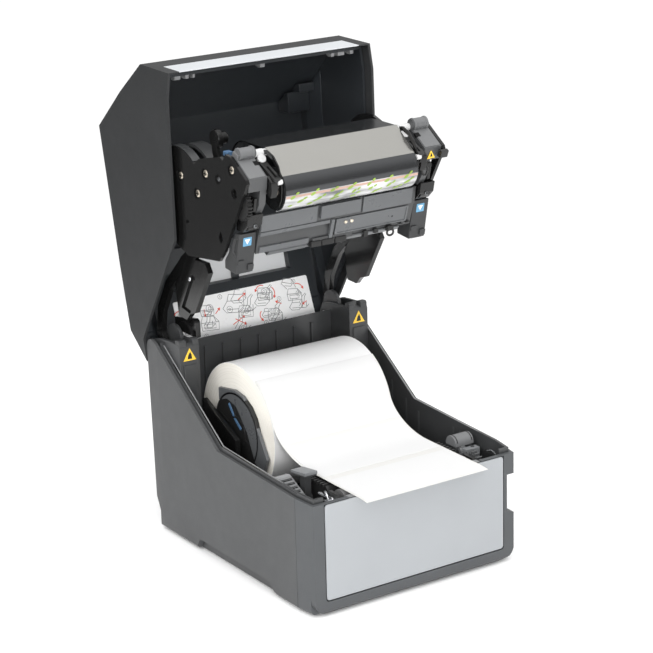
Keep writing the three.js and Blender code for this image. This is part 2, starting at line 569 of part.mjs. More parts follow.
function headCarriage() {
  const outline = [[86.9, 267.2], [89.5, 254.1], [90.4, 254.1], [96, 237.6], [110, 244.7], [110, 259], [96, 264.4]];
  const recess = cut(box(-50, -2, 80, 95.6, 240.5, 252.6), box(-60, 0, 93.6, 99, 230, 260));
  const raised = onFace([87.1, 266.4], [89.5, 254.6], 2, 10.5, 0, 1.2, -17, 17);
  const latch = box(-20, 14, 93.4, 97, 237.5, 241.5);
  return union(cut(prismX(outline, -66.2, 66.2), recess), raised, latch);
}

function printHead() {
  return prismX([[96.7, 236.9], [97.4, 234.9], [111.2, 241.9], [110.3, 244]], -56, 56);
}

const guideRod = () => rodX(GUIDE_ROD.r, -68.2, 68.2, GUIDE_ROD.y, GUIDE_ROD.z);

function ribbonFilm() {
  const gap = 0.5;
  const front = RIBBON_FRONT;
  const rod = [GUIDE_ROD.y, GUIDE_ROD.z];
  const line = [...arc([RIBBON_REAR.y, RIBBON_REAR.z], RIBBON_REAR.r + gap, 30, 88, 4),
    ...arc(rod, GUIDE_ROD.r + gap, 62, 118, 3),
    ...arc([front.y, front.z], front.r + gap, 130, 250, 10)];
  return prismX(band(line, 0.2), -front.half, front.half);
}

function ribbonSpool({ y, z, r, half }) {
  const wound = rodX(r, -half, half, y, z, 36);
  return union(wound, rodX(5, -half - 4, half + 4, y, z, 20), rodX(2.9, -66.3, 66.3, y, z, 16));
}

function rearSpool() {
  const { y, z, r, half } = RIBBON_REAR;
  return union(rodX(r, -half, half, y, z, 36), rodX(5, -half - 4, half + 4, y, z, 20), rodX(2.9, -70.3, 70.3, y, z, 16));
}

function spoolLever(side) {
  const [x0, x1] = span(side, 58.5, 63.5);
  const bar = band([[92.3, 303.4], [84, 299.2], [74, 293.8], [72, 288]], 2);
  return union(prismX(bar, x0, x1), rodX(3, x0, x1, 91.5, 304.2, 16), rodX(2, ...span(side, 57.2, 66), 72.2, 290.5, 12));
}

function ribbonGear() {
  return gearX(IDLER.teeth, IDLER.module, -81.1, -77.6, IDLER.y, IDLER.z, 0, IDLER.bore);
}

function gripTab() {
  const outline = [[70.8, 293.6], [73, 294.8], [74.6, 294.4], [75, 292.6], [77, 289.6], [73, 288.4]];
  return prismX(outline, 77.5, 84);
}

// ---- assembly -----------------------------------------------------------
const body = baseBody();
part(base, 'base_shell', baseShell(body), CHARCOAL);
part(base, 'front_cover', frontCover(body), BEZEL);
part(base, 'front_panel', frontPanel(), SILVER);
part(base, 'media_tray', mediaTray(), BLACK);
for (const [side, word] of [[-1, 'left'], [1, 'right']]) {
  part(base, `hinge_tower_${word}`, hingeTower(side), SATIN);
  part(base, `hinge_pin_${word}`, hingePin(side), STEEL);
  part(base, `foot_front_${word}`, foot(side * 68, 26), RUBBER);
  part(base, `foot_rear_${word}`, foot(side * 68, 192), RUBBER);
  part(base, `platen_bracket_${word}`, platenBracket(side), SATIN);
  part(base, `media_guide_${word}`, mediaGuide(side), BLACK);
}
part(base, 'web_guide', webGuide(), SATIN);
part(base, 'platen_roller', platenRoller(), RUBBER);
part(base, 'platen_shaft', platenShaft(), STEEL);
part(base, 'platen_gear', platenGear(), WHITE);
part(base, 'motor_gear', motorGear(), WHITE);
part(base, 'label_roll', labelRoll(), PAPER);
part(base, 'roll_core', rollCore(), CARD);
part(base, 'label_web', labelWeb(), PAPER);
part(base, 'guide_lock_lever', guideLockLever(), GREY);
part(base, 'release_lever', releaseLever(), GREY);
part(base, 'front_usb_socket', frontUsbSocket(), STEEL);
part(base, 'rear_port_panel', rearPortPanel(), METAL_GREY);
part(base, 'power_inlet', powerInlet(), BLACK);
part(base, 'usb_socket', usbSocket(), STEEL);
part(base, 'power_switch', powerSwitch(), BLACK);
part(lid, 'lid_shell', lidShell(), CHARCOAL);
part(lid, 'lid_liner', lidLiner(), BLACK);
part(lid, 'lid_window', lidWindow(), CLEAR);
part(lid, 'instruction_sheet', instructionSheet(), PAPER);
part(lid, 'front_strip', frontStrip(), SILVER);
part(lid, 'display_panel', displayPanel(), BLACK);
part(lid, 'feed_key', panelKey(KEYS.u[0]), GREY);
part(lid, 'cancel_key', panelKey(KEYS.u[1]), GREY);
for (const [side, word] of [[-1, 'left'], [1, 'right']]) {
  part(base, `arm_${word}`, arm(side), BLACK);
  part(base, `unit_pin_${word}`, unitPin(side), STEEL);
  part(base, `side_plate_${word}`, sidePlate(side), BLACK);
  part(base, `bearing_block_${word}`, bearingBlock(side), SATIN);
  part(base, `latch_block_${word}`, latchBlock(side), SATIN);
  part(base, `spool_lever_${word}`, spoolLever(side), BLACK);
}
part(base, 'spool_cover', spoolCover(), SATIN);
part(base, 'head_carriage', headCarriage(), GREY);
part(base, 'print_head', printHead(), METAL_GREY);
part(base, 'guide_rod', guideRod(), STEEL);
part(base, 'ribbon_film', ribbonFilm(), FILM);
part(base, 'front_ribbon_spool', ribbonSpool(RIBBON_FRONT), FILM);
part(base, 'rear_ribbon_spool', rearSpool(), BLACK);
part(base, 'ribbon_gear', ribbonGear(), BLACK);
part(base, 'grip_tab', gripTab(), SATIN);

export default printer;
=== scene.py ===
import json
import math
import random
import bpy
import bmesh
from mathutils import Matrix, Vector


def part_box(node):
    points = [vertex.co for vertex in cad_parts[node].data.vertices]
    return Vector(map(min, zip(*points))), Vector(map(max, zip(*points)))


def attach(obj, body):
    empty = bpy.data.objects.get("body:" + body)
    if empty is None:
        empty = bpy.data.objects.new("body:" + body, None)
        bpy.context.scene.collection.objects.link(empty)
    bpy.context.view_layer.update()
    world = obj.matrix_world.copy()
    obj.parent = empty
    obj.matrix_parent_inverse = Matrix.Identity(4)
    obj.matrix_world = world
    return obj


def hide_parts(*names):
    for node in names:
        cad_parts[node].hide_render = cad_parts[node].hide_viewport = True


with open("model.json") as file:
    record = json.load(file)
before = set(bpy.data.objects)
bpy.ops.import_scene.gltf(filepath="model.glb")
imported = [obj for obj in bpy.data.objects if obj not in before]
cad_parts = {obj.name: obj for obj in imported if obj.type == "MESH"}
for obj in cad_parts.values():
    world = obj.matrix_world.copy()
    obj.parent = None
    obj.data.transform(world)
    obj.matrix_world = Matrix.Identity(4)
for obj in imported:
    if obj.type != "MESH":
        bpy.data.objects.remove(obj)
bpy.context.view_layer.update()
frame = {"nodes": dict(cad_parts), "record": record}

random.seed(7)

# ---- scale and place: millimetres, y counted back from the housing's front face ----
MM = 0.001
FRONT_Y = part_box("front_panel")[0].y / MM


def at(x, y, z):
    return Vector((x * MM, (y + FRONT_Y) * MM, z * MM))


# ---- camera ----
AZIMUTH = math.radians(33.406)
TILT = math.radians(17.488)
ROLL = math.radians(1.505)
CAMERA_AT = (-865.3, -1203.3, 663.9)
LENS = 125.24
SENSOR = 36

ahead = Vector((math.sin(AZIMUTH) * math.cos(TILT), math.cos(AZIMUTH) * math.cos(TILT), -math.sin(TILT)))
level = Vector((math.cos(AZIMUTH), -math.sin(AZIMUTH), 0))
upward = level.cross(ahead)
right = level * math.cos(ROLL) - upward * math.sin(ROLL)
over = level * math.sin(ROLL) + upward * math.cos(ROLL)
camera = bpy.data.objects.new("camera", bpy.data.cameras.new("camera"))
bpy.context.scene.collection.objects.link(camera)
camera.data.lens = LENS
camera.data.sensor_width = SENSOR
camera.data.clip_end = 20
turn = Matrix((right, over, -ahead)).transposed().to_4x4()
camera.matrix_world = Matrix.Translation(at(*CAMERA_AT)) @ turn
bpy.context.scene.camera = camera


# ---- materials ----
RELIEF_DEPTH = 0.0004       # metres
COAT_ROUGHNESS = 0.06


def link_noise(tree, coord, scale, detail, rough, stretch=None):
    noise = tree.nodes.new("ShaderNodeTexNoise")
    noise.inputs["Scale"].default_value = scale
    noise.inputs["Detail"].default_value = detail
    noise.inputs["Roughness"].default_value = rough
    source = coord.outputs["Object"]
    if stretch:
        mapping = tree.nodes.new("ShaderNodeMapping")
        mapping.inputs["Scale"].default_value = stretch
        tree.links.new(source, mapping.inputs["Vector"])
        source = mapping.outputs["Vector"]
    tree.links.new(source, noise.inputs["Vector"])
    return noise


def spread(tree, value, low, high):
    """Stretches the usual run of a noise's values over low to high."""
    node = tree.nodes.new("ShaderNodeMapRange")
    node.inputs["From Min"].default_value = 0.3
    node.inputs["From Max"].default_value = 0.7
    node.inputs["To Min"].default_value = low
    node.inputs["To Max"].default_value = high
    tree.links.new(value, node.inputs["Value"])
    return node.outputs["Result"]


def surface(name, color, rough, metal=0.0, grain=2200, bump=0.05, tint=0.05, vary=0.05, coat=0.0,
            stretch=None, alpha=1.0, specular=0.5, second=None, patch=28.0):
    """A moulded, painted or metal finish: uneven colour and roughness and a fine grain in the bump.

    grain and patch are the fine and the broad noise's scales, and second is the broad noise's other colour.
    """
    mat = bpy.data.materials.new(name)
    mat.use_nodes = True
    tree = mat.node_tree
    shader = tree.nodes["Principled BSDF"]
    coord = tree.nodes.new("ShaderNodeTexCoord")
    broad = link_noise(tree, coord, patch, 2.0, 0.5, stretch)
    mix = tree.nodes.new("ShaderNodeMix")
    mix.data_type = "RGBA"
    mix.inputs["A"].default_value = (*(second or [c * (1 - tint) for c in color]), 1)
    mix.inputs["B"].default_value = (*[min(c * (1 + tint), 1) for c in color], 1)
    tree.links.new(spread(tree, broad.outputs["Fac"], 0.0, 1.0), mix.inputs["Factor"])
    tree.links.new(mix.outputs["Result"], shader.inputs["Base Color"])
    mottled = link_noise(tree, coord, 90.0, 4.0, 0.6)
    tree.links.new(spread(tree, mottled.outputs["Fac"], max(rough - vary, 0.02), min(rough + vary, 1.0)),
                   shader.inputs["Roughness"])
    fine = link_noise(tree, coord, grain, 2.0, 0.6, stretch)
    relief = tree.nodes.new("ShaderNodeBump")
    relief.inputs["Strength"].default_value = bump
    relief.inputs["Distance"].default_value = RELIEF_DEPTH
    tree.links.new(fine.outputs["Fac"], relief.inputs["Height"])
    tree.links.new(relief.outputs["Normal"], shader.inputs["Normal"])
    shader.inputs["Metallic"].default_value = metal
    shader.inputs["Coat Weight"].default_value = coat
    shader.inputs["Coat Roughness"].default_value = COAT_ROUGHNESS
    shader.inputs["Specular IOR Level"].default_value = specular
    shader.inputs["Alpha"].default_value = alpha
    return mat


def grey(value, blue=0.0):
    """Linear colour of a neutral 0-255 screen grey, a little bluer when asked."""
    def linear(v):
        v = v / 255
        return v / 12.92 if v < 0.04045 else ((v + 0.055) / 1.055) ** 2.4
    return (linear(value - blue), linear(value), linear(value + blue))


BRUSHED = (0.05, 1, 1)
ALONG_FILM = (0.1, 1, 1)
M = {
    "housing": surface("housing_charcoal", grey(76, 1), 0.55, grain=2600, bump=0.14, vary=0.04,
                       specular=0.4),
    "lid": surface("lid_charcoal", grey(50, 1), 0.55, grain=2600, bump=0.16, vary=0.04, specular=0.3),
    "bezel": surface("bezel_grey", grey(74, 2), 0.45, grain=2600, bump=0.08, specular=0.4),
    "panel": surface("panel_silver", grey(154, 3), 0.42, grain=3000, bump=0.06, tint=0.015),
    "strip": surface("strip_light", grey(205, 3), 0.35, grain=2600, tint=0.02),
    "gloss": surface("black_gloss", grey(20), 0.14, grain=1200, bump=0.01, vary=0.02, specular=0.4),
    "tub": surface("black_tub", grey(58, 1), 0.3, grain=1800, bump=0.04, vary=0.015, tint=0.02),
    "satin": surface("black_satin", grey(34), 0.36, bump=0.06, vary=0.02, specular=0.4),
    "matt": surface("dark_matt", grey(48, 1), 0.5, bump=0.12),
    "steel": surface("steel", (0.62, 0.63, 0.65), 0.24, 1.0, grain=900, bump=0.04, stretch=BRUSHED),
    "dark_steel": surface("dark_steel", grey(120, 2), 0.32, 0.9, grain=900, bump=0.04, stretch=BRUSHED),
    "brass": surface("pale_brass", (0.78, 0.7, 0.58), 0.34, 1.0, grain=900, bump=0.04),
    "white": surface("white_plastic", grey(206), 0.4, grain=2400, bump=0.04, tint=0.02),
    "lever": surface("lever_grey", grey(120, 2), 0.45, grain=2400, bump=0.08),
    "rubber": surface("rubber_grey", grey(92), 0.6, grain=3000, bump=0.15),
    "black_rubber": surface("rubber_black", grey(40), 0.8, grain=3000, bump=0.2),
    "paper": surface("label_paper", grey(213), 0.65, grain=2600, bump=0.03, tint=0.006),
    "roll_paper": surface("label_roll_paper", grey(228), 0.65, grain=2600, bump=0.03, tint=0.006),
    "card": surface("card", grey(168, -10), 0.85, grain=1600, bump=0.2),
    "film": surface("ribbon_film", (0.36, 0.355, 0.335), 0.2, 0.85, grain=400, bump=0.004, tint=0.02,
                    vary=0.03, stretch=ALONG_FILM),
    "tub_dark": surface("link_black", grey(20), 0.24, grain=1800, bump=0.04, specular=0.4),
    "knob": surface("knob_black", grey(14), 0.3, grain=1800, bump=0.02, specular=0.3),
    # lighter grey than the black parts: partly the cover's own grey, partly a painted sheen
    "cover": surface("cover_grey_painted_sheen", grey(58, 1), 0.3, grain=2400, bump=0.04),
    "clear": surface("window_clear", grey(200, 2), 0.12, grain=300, bump=0.01, alpha=0.55),
    "carriage": surface("carriage_grey", grey(62, 1), 0.35, grain=1800, bump=0.06),
    "carriage_light": surface("carriage_panel", grey(92, 2), 0.3, grain=2400, bump=0.06),
    "cap": surface("bearing_cap", grey(104, 1), 0.38, grain=2400, bump=0.08),
    "bearing": surface("bearing_block", grey(72, 1), 0.42, grain=1300, bump=0.16, tint=0.1),
    "tower": surface("tower_grey", grey(58, 1), 0.4, grain=2400, bump=0.08),
    "rim": surface("rim_grey", grey(136, 1), 0.35, grain=2400, bump=0.06),
    "pad": surface("pad_grey", grey(120, 1), 0.5, grain=2400, bump=0.1),
    "bay": surface("bay_dark", grey(72, 1), 0.34, grain=2000, vary=0.02),
    "liner": surface("liner_black", grey(46, 3), 0.34, bump=0.06, vary=0.02, specular=0.45),
    "liner_light": surface("liner_dark_grey", grey(58, 4), 0.36, bump=0.08),
    # painted shade: flat black for the shade in screw slots, notches, ramp slots and the gap round the front
    # panel
    "black": surface("slot_painted_shade", grey(8), 0.6, specular=0.2),
    "blue_plastic": surface("clip_blue", (0.08, 0.16, 0.28), 0.4),
    "blue": surface("label_blue", (0.12, 0.32, 0.5), 0.4, bump=0.02),
    "yellow": surface("label_yellow", (0.85, 0.55, 0.05), 0.4, bump=0.02),
    "red": surface("print_red", (0.75, 0.1, 0.06), 0.5, bump=0.02),
    "ink": surface("print_black", grey(22), 0.5, bump=0.02),
    "label_white": surface("label_white", grey(236), 0.45, bump=0.02, tint=0.01),
    "line_grey": surface("print_grey", grey(140), 0.6, bump=0.02),
    "sheet": surface("sheet_white", grey(254), 0.3, grain=1500, bump=0.02, tint=0.004),
    "leader": surface("leader_film", grey(222), 0.12, grain=120, stretch=(0.22, 1, 1), coat=0.3,
                      second=grey(90, 1), patch=150.0),
    "pink": surface("leader_band", (0.5, 0.33, 0.27), 0.2, grain=300, tint=0.2,
                    stretch=(0.2, 1, 1)),
    "leaf": surface("leader_leaf", (0.24, 0.36, 0.05), 0.35, grain=900, tint=0.25),
    # painted shade: the same ribbon film as ribbon_film made far darker, standing in for the dark band where
    # the film bends round the front roll
    "film_painted_shade": surface("ribbon_film_painted_shade", (0.07, 0.072, 0.075), 0.16, 0.7, grain=400, bump=0.004,
                          tint=0.02, vary=0.03, stretch=ALONG_FILM),
    "gear": surface("gear_grey", grey(70, 1), 0.35, grain=2000, bump=0.04),
    "silver_grey": surface("ramp_grey", grey(140, 1), 0.4, grain=2000),
    "dark_film": surface("wound_film", grey(34, 1), 0.2, grain=400, bump=0.006, stretch=ALONG_FILM),
    "roll_side": surface("roll_side_cream", (0.9, 0.87, 0.8), 0.75, grain=900, bump=0.1, tint=0.02),
    "roll_line": surface("roll_layer_line", (0.72, 0.69, 0.62), 0.8, grain=900),
    "liner_paper": surface("backing_paper", (0.635, 0.63, 0.612), 0.5, grain=2000, bump=0.03, tint=0.01),
    "light_guide": surface("light_guide", grey(150, 2), 0.15, grain=900, bump=0.02, alpha=0.5),
    "screen": surface("screen_glass", (0.01, 0.015, 0.02), 0.06, grain=900, bump=0.0, vary=0.02, coat=0.5),
    "led": surface("led_green", (0.05, 0.35, 0.08), 0.3, grain=900, bump=0.02),
}

BODY_OF = {n: b for b, members in frame["record"]["behaviour"]["bodies"].items() for n in members}


# ---- mesh helpers ----
def new_object(name, data):
    obj = bpy.data.objects.new(name, data)
    bpy.context.scene.collection.objects.link(obj)
    return obj


HARD_EDGE = math.radians(32)


def apply_modifiers(obj):
    graph = bpy.context.evaluated_depsgraph_get()
    mesh = bpy.data.meshes.new_from_object(obj.evaluated_get(graph), depsgraph=graph)
    obj.modifiers.clear()
    obj.data = mesh


def soften(obj):
    """Smooth shading with the hard edges kept."""
    bm = bmesh.new()
    bm.from_mesh(obj.data)
    for face in bm.faces:
        face.smooth = True
    for edge in bm.edges:
        edge.smooth = len(edge.link_faces) != 2 or edge.calc_face_angle(0) < HARD_EDGE
    bm.to_mesh(obj.data)
    bm.free()
    weighted = obj.modifiers.new("flat", "WEIGHTED_NORMAL")
    weighted.keep_sharp = True
    apply_modifiers(obj)


def bevel(obj, width, segments, angle=30):
    if width > 0:
        mod = obj.modifiers.new("edges", "BEVEL")
        mod.width = width * MM
        mod.segments = segments
        mod.limit_method = "ANGLE"
        mod.angle_limit = math.radians(angle)
        mod.use_clamp_overlap = True
        apply_modifiers(obj)
    soften(obj)


def place(obj, like, material, swap):
    """Ties the object to the CAD node it is like, which with swap it also stands for."""
    obj.data.materials.clear()
    obj.data.materials.append(M[material])
    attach(obj, BODY_OF[like])
    if swap:
        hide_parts(like)


def carve(obj, shapes, fn=None):
    """Cuts the shapes out of the piece."""
    tool = new_object("tool", solid_mesh("tool", shapes, fn))
    mod = obj.modifiers.new("cut", "BOOLEAN")
    mod.operation = "DIFFERENCE"
    mod.solver = "EXACT"
    mod.use_self = True
    mod.object = tool
    apply_modifiers(obj)
    bpy.data.objects.remove(tool)


def refined(node, material, width, segments=2, cuts=None):
    """The CAD solid's own shape with its edges rounded."""
    bm = bmesh.new()
    bm.from_mesh(frame["nodes"][node].data)
    bmesh.ops.remove_doubles(bm, verts=bm.verts, dist=1e-6)
    bmesh.ops.dissolve_limit(bm, angle_limit=math.radians(0.8), verts=bm.verts, edges=bm.edges)
    mesh = bpy.data.meshes.new(f"{node}_look")
    bm.to_mesh(mesh)
    bm.free()
    obj = new_object(f"{node}_look", mesh)
    if cuts:
        carve(obj, cuts)
    bevel(obj, width, segments)
    place(obj, node, material, True)


# ---- shapes: (points, faces) in millimetres ----
def on_axis(axis, a, b, along):
    return {"x": (along, a, b), "y": (a, along, b), "z": (a, b, along)}[axis]


def prism(axis, outline, lo, hi):
    n = len(outline)
    points = [on_axis(axis, a, b, c) for c in (lo, hi) for a, b in outline]
    sides = [(i, (i + 1) % n, n + (i + 1) % n, n + i) for i in range(n)]
    return points, [tuple(range(n)), tuple(range(n, 2 * n)), *sides]


def slab(x0, x1, y0, y1, z0, z1):
    return prism("z", [(x0, y0), (x1, y0), (x1, y1), (x0, y1)], z0, z1)


def lathe(axis, centre, profile, sides=32, closed=False):
    """profile: (position along the axis, radius) from end to end, or round a closed ring section."""
    angles = [2 * math.pi * i / sides for i in range(sides)]
    points = [on_axis(axis, centre[0] + r * math.cos(t), centre[1] + r * math.sin(t), along)
              for along, r in profile for t in angles]
    rows = len(profile)
    faces = []
    for j in range(rows if closed else rows - 1):
        k = (j + 1) % rows
        faces += [(j * sides + i, j * sides + (i + 1) % sides, k * sides + (i + 1) % sides, k * sides + i)
                  for i in range(sides)]
    if not closed:
        faces += [tuple(range(sides)), tuple(range((rows - 1) * sides, rows * sides))]
    return points, faces


def rod(axis, centre, r, lo, hi, sides=32):
    return lathe(axis, centre, [(lo, r), (hi, r)], sides)


def ring(axis, centre, outer, inner, lo, hi, sides=48):
    return lathe(axis, centre, [(lo, outer), (hi, outer), (hi, inner), (lo, inner)], sides, True)


def curve(centre, r, start, stop, steps):
    return [(centre[0] + r * math.cos(math.radians(start + (stop - start) * i / steps)),
             centre[1] + r * math.sin(math.radians(start + (stop - start) * i / steps)))
            for i in range(steps + 1)]


def strip(path, thick):
    """Outline of a line of (a, b) points given a thickness."""
    left, back = [], []
    for i, (a, b) in enumerate(path):
        before, after = path[max(i - 1, 0)], path[min(i + 1, len(path) - 1)]
        run = Vector((after[0] - before[0], after[1] - before[1])).normalized()
        left.append((a - run.y * thick / 2, b + run.x * thick / 2))
        back.append((a + run.y * thick / 2, b - run.x * thick / 2))
    return left + back[::-1]


def rounded(x0, x1, y0, y1, r, steps=5):
    return (curve((x1 - r, y0 + r), r, -90, 0, steps) + curve((x1 - r, y1 - r), r, 0, 90, steps)
            + curve((x0 + r, y1 - r), r, 90, 180, steps) + curve((x0 + r, y0 + r), r, 180, 270, steps))


def tile(x0, x1, u0, u1, r, lo, hi, steps=3):
    """A round-cornered plate lying in a face, between two heights over it."""
    return prism("z", rounded(x0, x1, u0, u1, r, steps), lo, hi)


def sweep(path, r, sides=10):
    """A round bar along a path of 3-D points."""
    points, faces = [], []
    path = [Vector(p) for p in path]
    for i, p in enumerate(path):
        run = (path[min(i + 1, len(path) - 1)] - path[max(i - 1, 0)]).normalized()
        side = run.cross(Vector((0.3, 0.5, 0.8))).normalized()
        up = run.cross(side)
        for j in range(sides):
            t = 2 * math.pi * j / sides
            points.append(p + side * (r * math.cos(t)) + up * (r * math.sin(t)))
    for i in range(len(path) - 1):
        faces += [(i * sides + j, i * sides + (j + 1) % sides, (i + 1) * sides + (j + 1) % sides,
                   (i + 1) * sides + j) for j in range(sides)]
    last = (len(path) - 1) * sides
    return points, faces + [tuple(range(sides)), tuple(range(last, last + sides))]


def hoop(x, y, z, half_width, half_height, angles):
    """A round bar bent into a loop that faces the front."""
    return sweep([(x + half_width * math.cos(t), y, z + half_height * math.sin(t))
                  for t in map(math.radians, angles)], 0.8)


def solid_mesh(name, shapes, fn=None):
    bm = bmesh.new()
    for points, faces in shapes:
        verts = [bm.verts.new(at(*(fn(p) if fn else p))) for p in points]
        for face in faces:
            bm.faces.new([verts[i] for i in face])
    bmesh.ops.recalc_face_normals(bm, faces=bm.faces)
    mesh = bpy.data.meshes.new(name)
    bm.to_mesh(mesh)
    bm.free()
    return mesh


def piece(name, like, material, shapes, width=0.2, fn=None, cuts=None, swap=False, angle=30):
    """A piece built here, laid by fn; edges sharper than the angle are rounded to the width."""
    obj = new_object(name, solid_mesh(name, shapes, fn))
    if cuts:
        carve(obj, cuts, fn)
    bevel(obj, width, 2, angle)
    place(obj, like, material, swap)


def sloped(start, stop, flip=1):
    """(x, along, out) on a slanted face seen edge-on as the line start to stop in (y, z)."""
    run = Vector((stop[0] - start[0], stop[1] - start[1])).normalized()

    def to_part(p):
        return (p[0], start[0] + run.x * p[1] - run.y * p[2] * flip,
                start[1] + run.y * p[1] + run.x * p[2] * flip)
    return to_part


HINGE = (213.5, 140.2)
LID_OPEN = math.radians(93.5)


def opened(p):
    """A point of the shut lid, swung to the open lid."""
    dy, dz = p[1] - HINGE[0], p[2] - HINGE[1]
    return (p[0], HINGE[0] + dy * math.cos(LID_OPEN) + dz * math.sin(LID_OPEN),
            HINGE[1] - dy * math.sin(LID_OPEN) + dz * math.cos(LID_OPEN))


def on_lid(fn):
    return lambda p: opened(fn(p))


# ---- light and floor ----
def area_light(name, where, aim, size, power):
    lamp = bpy.data.lights.new(name, "AREA")
    lamp.shape = "RECTANGLE"
    lamp.size, lamp.size_y = size
    lamp.energy = power
    obj = new_object(name, lamp)
    obj.location = where
    obj.rotation_euler = (Vector(aim) - Vector(where)).to_track_quat("-Z", "Y").to_euler()


def studio_world():
    """A bright ceiling over a dim horizon, with plain white behind the object."""
    world = bpy.data.worlds.new("studio")
    bpy.context.scene.world = world
    world.use_nodes = True
    tree = world.node_tree
    dome = tree.nodes["Background"]
    coord = tree.nodes.new("ShaderNodeTexCoord")
    split = tree.nodes.new("ShaderNodeSeparateXYZ")
    ramp = tree.nodes.new("ShaderNodeMapRange")
    ramp.interpolation_type = "SMOOTHSTEP"
    for key, value in (("From Min", DOME_START), ("From Max", DOME_END),
                       ("To Min", HORIZON), ("To Max", CEILING)):
        ramp.inputs[key].default_value = value
    tree.links.new(coord.outputs["Generated"], split.inputs["Vector"])
    tree.links.new(split.outputs["Z"], ramp.inputs["Value"])
    tree.links.new(ramp.outputs["Result"], dome.inputs["Strength"])
    dome.inputs["Color"].default_value = (1, 1, 1, 1)
    plain = tree.nodes.new("ShaderNodeBackground")
    plain.inputs["Color"].default_value = (1, 1, 1, 1)
    plain.inputs["Strength"].default_value = BACKDROP
    kind = tree.nodes.new("ShaderNodeLightPath")
    mix = tree.nodes.new("ShaderNodeMixShader")
    tree.links.new(kind.outputs["Is Camera Ray"], mix.inputs["Fac"])
    tree.links.new(dome.outputs["Background"], mix.inputs[1])
    tree.links.new(plain.outputs["Background"], mix.inputs[2])
    tree.links.new(mix.outputs["Shader"], tree.nodes["World Output"].inputs["Surface"])


HORIZON, CEILING, BACKDROP = 0.22, 1.2, 1.05     # strengths
DOME_START, DOME_END = 0.05, 0.75       # upward part of the directions between which it brightens
LIGHTS = (      # name, place, aim, size in metres, power
    ("front", (-1.1, -1.9, 0.8), (0, 0, 0.17), (1.5, 1.1), 17),
    ("low_front", (-0.55, -1.15, 0.38), (0, 0.1, 0.2), (0.5, 0.25), 5),
    ("left", (-1.4, -0.5, 1.3), (0, 0, 0.1), (1.4, 1.4), 15),
    ("right", (2.0, -0.3, 0.9), (0, 0, 0.1), (1.2, 1.0), 10),
    ("top", (0.1, -0.5, 2.2), (0, 0, 0.1), (1.4, 1.4), 8),
)
studio_world()
for light in LIGHTS:
    area_light(*light)
bpy.context.scene.view_settings.view_transform = "Standard"

FLOOR = ((-0.6, -2.0), (2.0, -2.0), (2.0, 0.62), (-0.6, 0.62))       # metres
floor_mesh = bpy.data.meshes.new("floor")
floor_mesh.from_pydata([(*corner, 0) for corner in FLOOR], [], [(0, 1, 2, 3)])
floor = new_object("floor", floor_mesh)
floor.data.materials.append(surface("floor_white", grey(250), 0.7, grain=200, bump=0.0, tint=0.004))

SIDES = ((-1, "left"), (1, "right"))


def across(side, a, b):
    """The same span on the left (side -1) or the right of the middle."""
    return tuple(sorted((a * side, b * side)))


def on_both(outline, a, b):
    """The same outline stretched along x on both sides of the middle."""
    return [prism("x", outline, *across(side, a, b)) for side, _ in SIDES]


# ---- print unit: side plates, knob, cover ----
PLATE_SCREWS = [(165.2, 283.7), (130.6, 291.4), (95, 300.5), (142.3, 274.9)]
PLATE_PIN = (113, 290.8)
PLATE_DIMPLES = [(157.2, 251.1, 2.2), (91.8, 284.5, 3.6), (*PLATE_PIN, 3.6)]
PLATE_FACE, PLATE_SEAT = 84, 82.7
SPOOL_COVER_AT = (168, 270)
KNOB_AT = (139.5, 312.6)


def pan_screw(axis, centre, r, seat, out):
    """Screw head standing from its seat, and black bars in its cross slot, painting the slot's shade."""
    head = lathe(axis, centre, [(seat, r), (seat + 0.55 * out, r), (seat + 0.95 * out, r * 0.8),
                                (seat + 1.15 * out, r * 0.4)], 24)
    bars = []
    for a, b in ((0.62, 0.16), (0.16, 0.62)):
        outline = [(centre[0] - r * a, centre[1] - r * b), (centre[0] + r * a, centre[1] - r * b),
                   (centre[0] + r * a, centre[1] + r * b), (centre[0] - r * a, centre[1] + r * b)]
        low, high = sorted((seat + 0.7 * out, seat + 1.2 * out))
        bars.append(prism(axis, outline, low, high))
    return head, bars


def screws(name, slots_name, like, material, axis, centres, r, seat, out, width=0.1):
    """One piece for the heads of a row of screws and one for their slots, painted black as shade."""
    made = [pan_screw(axis, centre, r, seat, out) for centre in centres]
    piece(name, like, material, [head for head, _ in made], width)
    piece(slots_name, like, "black", [bar for _, bars in made for bar in bars], 0)


for side, word in SIDES:
    node = f"side_plate_{word}"
    seat = PLATE_SEAT * side
    cut_span = across(side, PLATE_SEAT, PLATE_FACE + 1)
    cups = [rod("x", centre, 4.1, *cut_span, 28) for centre in PLATE_SCREWS]
    cups += [rod("x", (y, z), r, *cut_span, 24) for y, z, r in PLATE_DIMPLES]
    refined(node, "gloss", 0.45, cuts=cups)
    screws(f"plate_screws_{word}", f"plate_screw_slots_{word}", node, "brass", "x", PLATE_SCREWS, 2.7,
           seat, side)
    piece(f"plate_pins_{word}", node, "dark_steel", [
        lathe("x", PLATE_PIN, [(seat, 1.7), (seat + side * 0.8, 1.4), (seat + side, 0.6)], 20)], 0.05)

piece("roll_knob", "bearing_block_left", "knob", [
    lathe("x", KNOB_AT, [(-70, 6.4), (-68.5, 6.8), (-66, 6.8), (-65.5, 4.2), (-61, 4.2), (-60, 3.4),
                         (-59.6, 2)]),
    prism("x", strip([(136.5, 298), (139, 304), (139.5, 311)], 7), -70.4, -67.6)], 0.3)
# painted sheen: a thin light grey band laid over the gloss edge of the plate's arc to make it look lighter
piece("cover_painted_sheen_band", "side_plate_left", "cover", [
    prism("x", strip(curve(SPOOL_COVER_AT, 34.75, -50, 128, 40), 0.4), -83.8, -77.5)], 0)
piece("cable_clip", "bearing_block_left", "blue_plastic", [slab(-72.6, -67.6, 118, 124, 304, 307.4)], 0.6)

